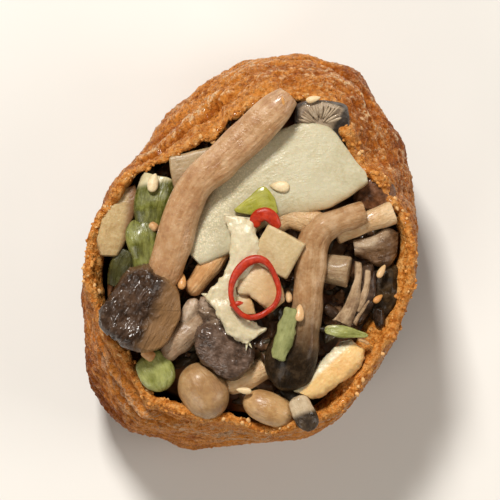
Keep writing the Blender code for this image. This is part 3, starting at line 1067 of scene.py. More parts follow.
GREY_STEM = replace(
    PALE_MUSHROOM, name="grey_stem_flesh", coat=0.08, shine=0.25,
    stem=((0.23, 0.13, 0.07), (0.33, 0.215, 0.13), (0.46, 0.34, 0.23)),
)
SCRAP_SKIN = replace(
    DARK_MUSHROOM, name="scrap_skin", stem=((0.34, 0.24, 0.14), (0.50, 0.38, 0.24), (0.62, 0.50, 0.34)),
    cap=((0.012, 0.007, 0.003), (0.045, 0.028, 0.016), (0.11, 0.075, 0.045)), coat=0.35,
)
BLACK_MUSHROOM = replace(
    DARK_MUSHROOM, name="black_cap",
    cap=((0.012, 0.006, 0.002), (0.034, 0.018, 0.006), (0.09, 0.052, 0.024)), shine=0.12, coat=0.2,
)
GILL_MUSHROOM = replace(
    DARK_MUSHROOM, name="gill_side_flesh",
    stem=((0.16, 0.085, 0.045), (0.42, 0.28, 0.16), (0.60, 0.44, 0.28)),
)
SLATE_MUSHROOM = replace(
    DARK_MUSHROOM, name="slate_cap", stem=((0.26, 0.18, 0.12), (0.44, 0.34, 0.24), (0.58, 0.47, 0.35)),
    cap=((0.02, 0.014, 0.010), (0.060, 0.048, 0.040), (0.15, 0.13, 0.115)),
)
OPEN_GILL = replace(
    GILL_MUSHROOM, name="open_gill_flesh", coat=0.3,
    stem=((0.30, 0.21, 0.13), (0.46, 0.36, 0.25), (0.60, 0.49, 0.36)),
)
BACK_GILL = replace(
    GILL_MUSHROOM, name="gill_back_flesh",
    stem=((0.14, 0.08, 0.045), (0.33, 0.22, 0.13), (0.52, 0.40, 0.27)),
    cap=((0.04, 0.018, 0.006), (0.115, 0.055, 0.022), (0.21, 0.12, 0.06)), shine=0.3,
)
PEACH_MUSHROOM = replace(
    PALE_MUSHROOM, name="peach_mushroom_flesh",
    stem=((0.50, 0.29, 0.13), (0.62, 0.41, 0.21), (0.70, 0.52, 0.32)),
)
RUSSET_MUSHROOM = replace(
    DARK_MUSHROOM, name="russet_cap", cap=((0.05, 0.018, 0.006), (0.15, 0.058, 0.022), (0.28, 0.15, 0.09)),
    crinkle=0.0002,
)
BAMBOO = BambooFinish(
    "boiled_bamboo", soak=0.3, coat=0.15, wet=0.3, dry=0.5, pale=(0.56, 0.51, 0.35), mid=(0.49, 0.43, 0.27)
)
SQUARE_BAMBOO = replace(BAMBOO, name="thick_bamboo", pale=(0.60, 0.47, 0.27), mid=(0.52, 0.38, 0.19))
# Its dark tan is partly painted shade on its shaded side face.
SIDE_BAMBOO = replace(
    BAMBOO, name="side_bamboo", pale=(0.55, 0.40, 0.195), mid=(0.44, 0.29, 0.125), tan=(0.25, 0.125, 0.055)
)
TAN_BAMBOO = replace(
    BAMBOO, name="tan_bamboo", pale=(0.42, 0.30, 0.16), mid=(0.33, 0.22, 0.10), tan=(0.26, 0.14, 0.065)
)
CREAM_BAMBOO = replace(
    BAMBOO, name="cream_bamboo", pale=(0.68, 0.60, 0.41), mid=(0.58, 0.49, 0.30), tan=(0.60, 0.37, 0.165),
    coat=0.25,
)
PEACH_BAMBOO = replace(
    BAMBOO, name="bamboo_heart", pale=(0.80, 0.54, 0.23), mid=(0.72, 0.41, 0.14), tan=(0.70, 0.60, 0.40),
    dot=0.5,
)
LEEK = LeekFinish("blanched_leek", soak=0.12, coat=0.35, coat_rough=0.16, wet=0.25, dry=0.5)
DARK_LEEK = replace(
    LEEK, name="dark_leek", deep=(0.018, 0.02, 0.002), mid=(0.085, 0.088, 0.009), light=(0.235, 0.24, 0.055)
)
SHEEN_LEEK = replace(
    LEEK, name="sheen_leek", coat=0.1, deep=(0.025, 0.02, 0.006), mid=(0.045, 0.042, 0.009),
    light=(0.095, 0.09, 0.025),
)
LEAF_LEEK = replace(
    LEEK, name="leaf_leek", deep=(0.17, 0.165, 0.015), mid=(0.28, 0.27, 0.028), light=(0.38, 0.36, 0.05),
    rib=0.00002,
)
DULL_LEEK = replace(
    LEEK, name="matt_leek", coat=0.0, wet=0.55, dry=0.75, deep=(0.12, 0.13, 0.03), mid=(0.22, 0.23, 0.075),
    light=(0.33, 0.34, 0.13),
)
CHILLI = PlainFoodFinish(
    "red_chilli", soak=0.05, coat=0.12, shine=0.3, dark=(0.34, 0.014, 0.002), light=(0.50, 0.036, 0.008)
)
SESAME = PlainFoodFinish(
    "toasted_sesame", soak=0.2, coat=0.1, dark=(0.66, 0.50, 0.28), light=(0.80, 0.66, 0.42),
    other=(0.60, 0.28, 0.08),
)
TOFU_CRUMB = PlainFoodFinish(
    "torn_tofu_crumb", soak=0.1, coat=0.08, shine=0.15, dark=(0.40, 0.13, 0.018), light=(0.70, 0.31, 0.075),
    other=(0.76, 0.46, 0.20),
)
CORE = PlainFoodFinish(
    "simmered_mixture", soak=0.0, coat=0.4, coat_rough=0.15, dark=(0.085, 0.031, 0.010),
    light=(0.27, 0.105, 0.034), other=(0.075, 0.055, 0.018), cloud=0.004, grain=700.0,
)
SCRAPS = PlainFoodFinish(
    "mushroom_scraps", soak=0.1, coat=0.5, coat_rough=0.15, dark=(0.13, 0.060, 0.024),
    light=(0.38, 0.21, 0.11), other=(0.075, 0.052, 0.022), cloud=0.003,
)


# ---- making pieces


def put(name: str, data: object) -> bpy.types.Object:
    """Makes an object of a mesh, a light or a camera and puts it in the scene."""
    item = bpy.data.objects.new(name, data)
    bpy.context.scene.collection.objects.link(item)
    return item


class Bench:
    """Where pieces are put together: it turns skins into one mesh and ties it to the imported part."""

    def __init__(self) -> None:
        """Sets the datum: the middle of the pouch's foot, from its packed box."""
        low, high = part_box("pouch")
        self.datum = np.array(((low.x + high.x) / 2, (low.y + high.y) / 2, low.z)) / MM

    def mesh(self, name: str, skins: Sequence[Skin]) -> bpy.types.Mesh:
        """Joins skins into one mesh, in metres.

        Args:
            name: The mesh's name.
            skins: Closed surfaces, each with its own finish number.

        Returns:
            The mesh, with its masks as attributes and its map.
        """
        points, faces, kinds, maps = [], [], [], []
        titles = sorted({title for skin in skins for title in skin.masks})
        masks: dict[str, list[Array]] = {title: [] for title in titles}
        start = 0
        for skin in skins:
            count, sides = skin.rows.shape[:2]
            outward = skin.volume() > 0
            grid = start + np.arange(count * sides).reshape(count, sides)
            beside = np.roll(grid, -1, axis=1)
            walls = joined(grid[:-1], beside[:-1], beside[1:], grid[1:]).reshape(-1, 4)
            first, last = start + count * sides, start + count * sides + 1
            head = joined(np.full(sides, first), beside[0], grid[0])
            tail = joined(np.full(sides, last), grid[-1], beside[-1])
            way = skin.along if skin.along is not None else np.zeros((count, sides, 2))
            wrap = np.concatenate([way, way[:, :1] + (way[:, -1:] - way[:, -2:-1]) * (1, 0) * sides], axis=1)
            wall_map = np.stack(
                [wrap[:-1, :-1], wrap[:-1, 1:], wrap[1:, 1:], wrap[1:, :-1]], axis=2
            ).reshape(-1, 4, 2)
            head_map = np.stack([wrap[0, :-1], wrap[0, 1:], wrap[0, :-1]], axis=1)
            tail_map = np.stack([wrap[-1, :-1], wrap[-1, :-1], wrap[-1, 1:]], axis=1)
            for part, mapped in ((walls, wall_map), (head, head_map), (tail, tail_map)):
                faces.extend((part if outward else part[:, ::-1]).tolist())
                maps.append((mapped if outward else mapped[:, ::-1]).reshape(-1, 2))
            poles = [skin.rows[0].mean(axis=0), skin.rows[-1].mean(axis=0)]
            points.append(np.concatenate([skin.rows.reshape(-1, 3), poles]))
            kinds += [skin.finish] * (len(walls) + 2 * sides)
            for title in titles:
                mask = skin.masks.get(title, np.zeros((count, sides)))
                masks[title].append(np.concatenate([mask.reshape(-1), [mask[0].mean(), mask[-1].mean()]]))
            start += count * sides + 2
        made = bpy.data.meshes.new(name)
        made.from_pydata(((np.concatenate(points) + self.datum) * MM).tolist(), [], faces)
        made.polygons.foreach_set("material_index", kinds)
        made.polygons.foreach_set("use_smooth", [True] * len(faces))
        made.uv_layers.new(name=SKIN_MAP).data.foreach_set("uv", np.concatenate(maps).reshape(-1))
        for title in titles:
            layer = made.attributes.new(title, "FLOAT", "POINT")
            layer.data.foreach_set("value", np.concatenate(masks[title]).astype(np.float32))
        made.update()
        return made

    def piece(
        self, name: str, made: bpy.types.Mesh | Sequence[Skin], finishes: Sequence[Finish],
        node: str = "",
    ) -> bpy.types.Object:
        """Makes an object of a mesh, dresses it and ties it to the part.

        Args:
            name: The piece's name.
            made: Its mesh, or the skins to make it of.
            finishes: One for each finish number in the mesh.
            node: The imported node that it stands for, if any.

        Returns:
            The object.
        """
        if not isinstance(made, bpy.types.Mesh):
            made = self.mesh(name, made)
        # To clear an empty list would set every face's finish number to 0.
        if len(made.materials):
            made.materials.clear()
        for finish in finishes:
            made.materials.append(finish.material())
        item = put(name, made)
        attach(item, "root")
        if node:
            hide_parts(node)
        LOG.info("%s: %d faces, stands for %s", name, len(made.polygons), node or "nothing packed")
        return item


class Grain(NamedTuple):
    """The shape of strewn grains: how much slimmer the far end is, how finely divided, how dented."""

    taper: float
    fineness: int
    dent: float


class Mark(NamedTuple):
    """Where a grain goes, in millimetres, how it is turned, in degrees, and its half sizes."""

    x: float
    y: float
    z: float
    turn: float
    pitch: float
    long: float
    wide: float
    high: float
    tint: float


def mark_mesh(name: str, marks: Sequence[Mark], datum: Array) -> bpy.types.Mesh:
    """Loose points that carry the turn, size and tint of a grain.

    Args:
        name: The mesh's name.
        marks: The marks.
        datum: Where the marks are measured from, in millimetres.

    Returns:
        The mesh, in metres.
    """
    held = np.array(marks, float)
    made = bpy.data.meshes.new(name)
    made.from_pydata(((held[:, :3] + datum) * MM).tolist(), [], [])
    turn = np.radians(np.stack([np.zeros(len(held)), held[:, 4], held[:, 3]], axis=1))
    for title, kind, values in (
        ("turn", "FLOAT_VECTOR", turn), ("size", "FLOAT_VECTOR", held[:, 5:8] * MM),
        ("tint", "FLOAT", held[:, 8]),
    ):
        layer = made.attributes.new(title, kind, "POINT")
        layer.data.foreach_set(
            "vector" if kind == "FLOAT_VECTOR" else "value", values.astype(np.float32).reshape(-1)
        )
    return made


class SproutTree:
    """A Geometry Nodes tree that sets a rounded grain on every marked point."""

    NAME = "grain on every mark"

    def __init__(self) -> None:
        """Builds the tree: named inputs, a tapered grain, its instances made real, then the finish."""
        tree = bpy.data.node_groups.new(self.NAME, "GeometryNodeTree")
        tree.is_modifier = True
        for title, kind in (
            ("Marks", "NodeSocketGeometry"), ("Taper", "NodeSocketFloat"), ("Fineness", "NodeSocketInt"),
            ("Dent", "NodeSocketFloat"), ("Finish", "NodeSocketMaterial"),
        ):
            tree.interface.new_socket(name=title, in_out="INPUT", socket_type=kind)
        tree.interface.new_socket(name="Grains", in_out="OUTPUT", socket_type="NodeSocketGeometry")
        wiring = Wiring(tree)
        got = wiring.add("NodeGroupInput").outputs
        ball = wiring.add("GeometryNodeMeshIcoSphere", {"Radius": 1.0, "Subdivisions": got["Fineness"]})
        spot = wiring.add("GeometryNodeInputPosition").outputs[0]
        parts = wiring.add("ShaderNodeSeparateXYZ", {0: spot}).outputs
        slim = wiring.less(1.0, wiring.times(parts["X"], got["Taper"]))
        bite = wiring.noise(spot, 1.6, 2)
        dent = wiring.times(wiring.less(bite, 0.5), got["Dent"])
        slim = wiring.plus(slim, dent)
        narrow = wiring.add(
            "ShaderNodeCombineXYZ",
            {
                "X": wiring.times(parts["X"], wiring.plus(1.0, dent)),
                "Y": wiring.times(parts["Y"], slim),
                "Z": wiring.times(parts["Z"], slim),
            },
        ).outputs[0]
        grain = wiring.add("GeometryNodeSetPosition", {"Geometry": ball.outputs["Mesh"], "Position": narrow})
        turn = wiring.add("GeometryNodeInputNamedAttribute", {"Name": "turn"}, data_type="FLOAT_VECTOR")
        size = wiring.add("GeometryNodeInputNamedAttribute", {"Name": "size"}, data_type="FLOAT_VECTOR")
        spread = wiring.add(
            "GeometryNodeInstanceOnPoints",
            {
                "Points": got["Marks"],
                "Instance": grain.outputs["Geometry"],
                "Rotation": wiring.add(
                    "FunctionNodeEulerToRotation", {0: turn.outputs["Attribute"]}
                ).outputs[0],
                "Scale": size.outputs["Attribute"],
            },
        )
        real = wiring.add("GeometryNodeRealizeInstances", {"Geometry": spread.outputs["Instances"]})
        smooth = wiring.add("GeometryNodeSetShadeSmooth", {"Geometry": real.outputs["Geometry"]})
        dressed = wiring.add(
            "GeometryNodeSetMaterial", {"Geometry": smooth.outputs[0], "Material": got["Finish"]}
        )
        wiring.add("NodeGroupOutput", {0: dressed.outputs["Geometry"]})
        self.tree = tree

    def strew(
        self, bench: Bench, name: str, marks: Sequence[Mark], finish: Finish, slot: Slot, shape: Grain
    ) -> None:
        """Sets grains of one shape on marks, as a plain mesh, and makes a piece of it.

        Args:
            bench: Where pieces are put together.
            name: The piece's name.
            marks: Where the grains go.
            finish: What the grains are dressed in.
            slot: Not used.
            shape: The shape of every grain.
        """
        holder = put(name + "_marks", mark_mesh(name + "_spots", marks, bench.datum))
        grown = holder.modifiers.new("grains", "NODES")
        grown.node_group = self.tree
        values = {title.capitalize(): value for title, value in shape._asdict().items()}
        values["Finish"] = finish.material()
        for item in self.tree.interface.items_tree:
            if item.item_type == "SOCKET" and item.name in values:
                grown[item.identifier] = values[item.name]
        graph = bpy.context.evaluated_depsgraph_get()
        made = bpy.data.meshes.new_from_object(holder.evaluated_get(graph))
        made.name = name
        bpy.data.objects.remove(holder)
        bench.piece(name, made, [finish])


# ---- the pouch


class Fold(NamedTuple):
    """A groove (negative height) or a ridge in the pouch's skin, from one place to another.

    Each place is an angle in degrees and a distance below the rim in millimetres.
    """

    turn: float
    below: float
    to_turn: float
    to_below: float
    height: float
    width: float


@dataclass
class TofuPouch:
    """The fried-tofu sack: a lofted skin with folds, crinkles and a crumbly torn rim.

    A row of sixteen values goes round the compass, from +X towards +Y.
    """

    plan: Numbers = (
        31.2, 31.7, 35.4, 37.9, 35.5, 31, 27.3, 27.7, 29.2, 32.9, 38.7, 37.7, 35.6, 35.5, 32.4, 30.6
    )
    corners: tuple[Bulge, ...] = ((60, 9, 1.3), (234, 9, 1.2))
    rim_inset: Numbers = (0.9, 4.2, 8.8, 9.3, 10.4, 9.1, 5, 1.1, -0.2, 2, 7.2, 4.7, 1.7, 1, 0.2, 0.2)
    rim_height: Numbers = (
        35, 35.8, 37, 38, 38.5, 38.2, 37.5, 36.5, 35.5, 34.8, 34, 33.4, 33, 33.4, 34, 34.6
    )
    belly: Numbers = (20, 20, 18, 16, 15, 15, 17, 20, 21, 16, 10, 11, 16, 20, 21, 21)
    base_inset: Numbers = (8.5, 8.5, 8.5, 8, 8, 8, 8, 8, 8, 6.5, 4, 4.5, 7, 8, 8.5, 8.5)
    base_curve: float = 2.4
    hood_curve: float = 2.3
    wall: float = 2.3
    rim_wall: Numbers = (1.3, 1.9, 2.2, 1.6, 1.4, 1.3, 1.2, 1, 1.1, 1.5, 1.7, 1.8, 1.6, 1.5, 1.6, 1.6)
    # How strongly painted shade darkens the lower wall at each compass point; the mask sun paints the rest
    # lighter.
    dusk: Numbers = (1, 1, 1, 0.6, 0.1, 0.15, 0.45, 0.9, 1, 1, 0.85, 0.3, 0.05, 0.2, 0.7, 1)
    rim_band: Numbers = (1, 1.1, 1.4, 1.4, 1.4, 1.5, 1.7, 1.8, 1.8, 2.4, 3.2, 3.6, 3.6, 3, 1.8, 1.1)
    waves: tuple[Wave, ...] = ((7, 0.6, 0.35, 0.45), (11, 2.1, 0.3, 0.4), (17, 4, 0.2, 0.3))
    swell: Numbers = (2.2, 2.4, 2.6, 1.2, 0.9, 0.7, 0.5, 1.2, 2, 1.9, 1.9, 1.7, 1.6, 2.6, 4.2, 3.8)
    tabs: tuple[Bulge, ...] = (
        (37, 7, 1.5), (108, 4.5, 1.5), (100, 3, -0.8), (19, 3, 1.1), (12, 3, -0.6), (341, 3, 0.9),
        (328, 3, -0.5), (262, 4, 0.6),
    )
    folds: tuple[Fold, ...] = (
        Fold(92, 4.2, 150, 2.6, -1, 0.7), Fold(92, 6, 150, 4.4, 0.5, 1), Fold(78, 11, 42, 8, -1.5, 1.2),
        Fold(80, 8.5, 40, 5.5, 0.6, 1.4), Fold(196, 2.6, 262, 3, -0.9, 0.7),
        Fold(205, 5.6, 250, 6.4, -0.9, 0.8), Fold(215, 4.4, 255, 4.6, 0.5, 0.8),
        Fold(165, 5, 200, 7, -0.7, 1), Fold(262, 4.5, 300, 5.5, -0.6, 0.8), Fold(112, 9, 135, 12, -0.5, 1),
        Fold(100, 13, 125, 10, -0.5, 0.8), Fold(20, 7, 350, 12, -0.6, 1.1), Fold(330, 9, 300, 16, -0.7, 1.2),
        Fold(235, 12, 215, 20, -0.8, 1.4), Fold(180, 14, 150, 20, -0.7, 1.4),
        Fold(70, 18, 40, 24, -0.8, 1.6),
    )
    sides: int = 580
    foot_rows: int = 7
    outer_rows: int = 92
    rim_rows: int = 9
    inner_rows: int = 40
    bed_rows: int = 4
    crumbs: int = 430

    def skin(self, lumps: Unevenness) -> Skin:
        """The sack's surface, up its outside, over the rim and down its inside.

        Args:
            lumps: What makes it uneven.

        Returns:
            The skin, with the masks that the pouch's finish reads.
        """
        turn = ring(self.sides)
        compass_point = joined(np.cos(turn), np.sin(turn), np.zeros(self.sides))
        around = compass_point * POUCH_RADIUS
        inset = compass(self.rim_inset, turn)
        top = compass(self.rim_height, turn) - self.wall / 2
        for count, phase, sway, rise in self.waves:
            inset = inset + sway * np.sin(count * turn + phase)
            top = top + rise * np.cos(count * turn + phase)
        inset += 0.5 * lumps.smooth(around, 3.0) + 0.12 * lumps.smooth(around + 50, 1.1)
        top += 0.6 * lumps.smooth(around + 20, 3.4) + 0.15 * lumps.smooth(around + 70, 1.3)
        for middle, reach, inward in self.tabs:
            gap = swing(turn, middle)
            inset += inward * bell(gap, math.radians(reach))
        base, belly = compass(self.base_inset, turn), compass(self.belly, turn)
        share = np.linspace(0, 1, self.outer_rows)[:, None]
        height = top * (1 - (1 - share) ** 1.25)
        lower = base * (1 - np.minimum(height / belly, 1)) ** self.base_curve
        upper = inset * (np.maximum(height - belly, 0) / (top - belly)) ** self.hood_curve
        outside = joined(np.where(height < belly, lower, upper), height)
        ahead = np.gradient(outside, axis=0)
        ahead /= np.linalg.norm(ahead, axis=2, keepdims=True)
        drop = top - outside[..., 1]
        thick = compass(self.rim_wall, turn) + compass(self.swell, turn) * ease(-1.0, 3.4, drop)
        inward = joined(ahead[..., 1], -ahead[..., 0])
        inside = outside + inward * thick[..., None]
        inside[..., 1] = np.maximum(inside[..., 1], self.wall)
        middle = (outside[-1] + inside[-1]) / 2
        across = outside[-1] - middle
        over = joined(across[:, 1], -across[:, 0])
        bend = math.pi * np.arange(1, self.rim_rows) / self.rim_rows
        rim = middle + across * np.cos(bend)[:, None, None] + over * np.sin(bend)[:, None, None]
        picks = np.linspace(1, 0, self.inner_rows) ** 0.7 * (self.outer_rows - 1)
        inner = inside[np.unique(picks.round().astype(int))[::-1]]
        plan = compass(self.plan, turn)
        for middle, reach, outward in self.corners:
            gap = swing(turn, middle)
            plan += outward * bell(gap, math.radians(reach))
        foot = plan - np.linspace(0.1, 0.95, self.foot_rows)[:, None] * (plan - outside[0, :, 0])
        bed = plan - np.linspace(0.9, 0.1, self.bed_rows)[:, None] * (plan - inner[-1, :, 0])
        foot, bed = joined(foot, np.zeros_like(foot)), joined(bed, np.full_like(bed, self.wall))
        lines = np.concatenate([foot, outside, rim, inner, bed])
        radius = plan - lines[..., 0]
        rows = joined(radius * np.cos(turn), radius * np.sin(turn), lines[..., 1])
        outer, within = np.zeros(self.foot_rows + self.outer_rows), np.ones(len(inner) + self.bed_rows)
        inside_mask = fill(np.concatenate([outer, bend / math.pi, within])[:, None], radius)
        below = np.maximum(top - lines[..., 1], 0)
        return self.crinkle(Skin(rows), lumps, turn, inside_mask, below)

    def crinkle(self, skin: Skin, lumps: Unevenness, turn: Array, inside: Array, below: Array) -> Skin:
        """Folds and crinkles the skin, and writes its masks.

        Args:
            skin: The smooth sack.
            lumps: What makes it uneven.
            turn: The angle of each side.
            inside: 0 outside, 1 inside.
            below: Distance below the rim.

        Returns:
            The same skin.
        """
        rows = skin.rows
        step = np.linalg.norm(np.diff(rows, axis=0, prepend=rows[:1]), axis=2)
        way = np.cumsum(step, axis=0)
        sheet = joined(fill(15 * np.cos(turn), way), fill(15 * np.sin(turn), way), way * 1.2)
        outer = 1 - inside
        foot = ease(0.0, 2.5, rows[..., 2])
        sway = lumps.smooth(rows, 6) * 1.6
        folded = np.zeros(way.shape)
        for fold in self.folds:
            begin = np.array((math.radians(fold.turn) * POUCH_RADIUS, fold.below))
            end = np.array((math.radians(fold.to_turn) * POUCH_RADIUS, fold.to_below))
            line = end - begin
            arc = math.radians(fold.turn) + swing(turn, fold.turn)
            here = joined(fill(arc * POUCH_RADIUS, way), below + sway) - begin
            share = np.clip((here @ line) / (line @ line), 0, 1)
            gap = np.linalg.norm(here - share[..., None] * line, axis=-1)
            fade = np.clip(np.minimum(share, 1 - share) * 6, 0, 1)
            folded += fold.height * fade * bell(gap, fold.width)
        dents = lumps.smooth(rows + 31, 11) * 0.9 + lumps.smooth(rows + 5, 5.5) * 0.5
        creases = lumps.ridged(sheet, 1.7, 3)
        fine = lumps.ridged(rows + 77, 1.15, 2)
        blisters = 1 - np.minimum(lumps.beads(rows, 1.2), 1)
        near = np.exp(-below / 1.4)
        crumbs = lumps.rough(rows, 1.1, 2)
        relief = creases * 0.5 + fine * 0.7 + blisters * 0.2
        relief = relief - relief.mean() + 0.7
        height = (folded * outer + dents * (0.35 + 0.65 * outer) * (1 - 0.6 * near)) * foot
        height = height + (relief - 0.85) * 0.8 * (0.3 + 0.7 * outer) * (
            0.25 + 0.75 * foot
        ) * (1 - 0.7 * near)
        height = height + crumbs * (0.10 * near + 0.08)
        height = height * ease(0.0, 0.4, foot + 0.15)
        level = relief + folded * 0.5 + crumbs * 0.25
        skin.push(height)
        skin.rows[..., 2] = np.maximum(skin.rows[..., 2], 0)
        skin.masks = {
            "relief": ease(0.25, 1.25, level),
            "rim": np.clip(
                np.exp(-below / compass(self.rim_band, turn)) * 1.1, 0, 1
            ) * (0.55 + 0.45 * ease(-0.4, 0.5, crumbs)),
            "inside": ease(0.45, 0.75, inside),
            "depth": ease(2.5, 10.0, below),
            # The masks low and sun paint shade on the lower wall and light on the lit sides.
            "low": (1 - ease(9, 27, rows[..., 2])) * compass(self.dusk, turn),
            "dry": bell(below - 5.2, 3.4) * np.clip(0.3 - 1.2 * np.sin(turn - 0.35), 0, 1),
            "sun": fill(1.15 - compass(self.dusk, turn), way),
            # The mask pale sets the hood's coat and how far the painted glints spread.
            "pale": np.clip(0.25 + 0.75 * ease(-0.2, 0.9, fill(np.sin(turn), way)), 0, 1),
        }
        skin.along = joined(fill(turn * POUCH_RADIUS, way), way)
        return skin

    def torn_bits(self, skin: Skin) -> list[Mark]:
        """Crumbs of torn skin, strewn along the rim.

        Args:
            skin: The sack's surface.

        Returns:
            A mark for each crumb.
        """
        draw = np.random.default_rng(self.crumbs)
        rim = self.foot_rows + self.outer_rows
        rows = draw.integers(rim - 4, rim + self.rim_rows + 2, self.crumbs)
        places = skin.rows[rows, draw.integers(0, self.sides, self.crumbs)]
        marks = []
        for x, y, z in places.tolist():
            long = 0.22 + 0.42 * draw.random() ** 2
            wide, high = long * (0.5 + 0.4 * draw.random()), long * (0.4 + 0.3 * draw.random())
            marks.append(
                Mark(
                    x, y, z, draw.random() * 360, draw.normal() * 30, long, wide, high,
                    0.8 * float(draw.random() < 0.2),
                )
            )
        return marks

    def build(self, bench: Bench, lumps: Unevenness, sprouts: SproutTree) -> None:
        """Makes the pouch, ties it to its node, and strews the crumbs on its rim."""
        skin = self.skin(lumps)
        bench.piece("tofu_pouch", [skin], [TOFU], "pouch")
        sprouts.strew(
            bench, "rim_crumbs", self.torn_bits(skin), TOFU_CRUMB, Slot.TOFU,
            Grain(taper=0.2, fineness=2, dent=0.8),
        )


# ---- the mixture under the toppings


@dataclass
class MixtureCore:
    """The dark, wet mixture that shows between the toppings: a lumpy core with loose scraps on it."""

    centre: tuple[float, float] = (0.0, -2.5)
    crown: float = 31.6
    edge: float = 27.2
    radius: float = 29.0
    foot: float = 3.2
    taper: float = 0.22
    inset: Numbers = (4, 4.6, 6.5, 7, 8, 7, 5.5, 4.4, 4, 5, 8, 7.4, 5.4, 4, 4, 4)
    sides: int = 160
    rings: int = 70
    scraps: int = 420
    scrap_sizes: tuple[float, float] = (0.8, 2.6)
    other_share: float = 0.45
    strewn: float = 25.0
    seed: int = 11

    def height(self, x: Array, y: Array, lumps: Unevenness) -> Array:
        """The core's surface above each place."""
        reach = ((x - self.centre[0]) ** 2 + (y - self.centre[1]) ** 2) / self.radius**2
        places = joined(x, y, np.zeros_like(x))
        rough = 1.3 * lumps.smooth(places, 5) + 0.7 * lumps.rough(places + 40, 2.2, 2)
        return self.crown - (self.crown - self.edge) * reach + rough

    def skin(self, pouch: TofuPouch, lumps: Unevenness) -> Skin:
        """The core's closed surface, just inside the pouch.

        Args:
            pouch: What it fills.
            lumps: What makes it uneven.

        Returns:
            The skin, with its mask tint.
        """
        turn = ring(self.sides)
        reach = compass(pouch.plan, turn) - compass(self.inset, turn)
        share = np.linspace(0.02, 1, self.rings)[:, None]
        x = reach * np.cos(turn) * share
        y = reach * np.sin(turn) * share
        top = joined(x, y, self.height(x, y, lumps))
        depth = np.linspace(0.5, 0.0, 5)[:, None]
        slim = 1 - (1 - depth * 2) * self.taper
        low = joined(x[-1] * slim, y[-1] * slim, self.foot + (top[-1, :, 2] - self.foot) * depth)
        hollow = np.stack([low[-1] * (size, size, 1) for size in (0.7, 0.4, 0.1)])
        rows = np.concatenate([top, low, hollow])
        tint = ease(0.0, 0.4, lumps.smooth(rows + 90, 7))
        return Skin(rows, {"tint": tint})

    def scatter(self, lumps: Unevenness) -> list[Mark]:
        """Places the loose scraps over the core, some of them in the other colour.

        Args:
            lumps: What makes it uneven.

        Returns:
            A mark for each scrap.
        """
        count, (least, most) = self.scraps, self.scrap_sizes
        draw = np.random.default_rng(self.seed + count)
        turn, reach = draw.random(count) * TAU, np.sqrt(draw.random(count)) * self.strewn
        x, y = reach * np.cos(turn), reach * np.sin(turn) * 1.05 + self.centre[1]
        z = self.height(x, y, lumps)
        marks = []
        for k in range(count):
            long = least + (most - least) * draw.random() ** 2
            spin, pitch = draw.random() * 360, draw.normal() * 25
            wide, high = long * (0.35 + 0.4 * draw.random()), long * (0.2 + 0.25 * draw.random())
            other = float(draw.random() < self.other_share)
            marks.append(Mark(x[k], y[k], z[k] + 0.25, spin, pitch, long, wide, high, other))
        return marks

    def build(self, bench: Bench, pouch: TofuPouch, lumps: Unevenness, sprouts: SproutTree) -> None:
        """Makes the core and the scraps on it."""
        bench.piece("mixture_core", [self.skin(pouch, lumps)], [CORE], "filling")
        marks = self.scatter(lumps)
        sprouts.strew(
            bench, "mixture_scraps", marks, SCRAPS, Slot.MIXTURE, Grain(taper=0.3, fineness=3, dent=0.9)
        )


# ---- mushrooms


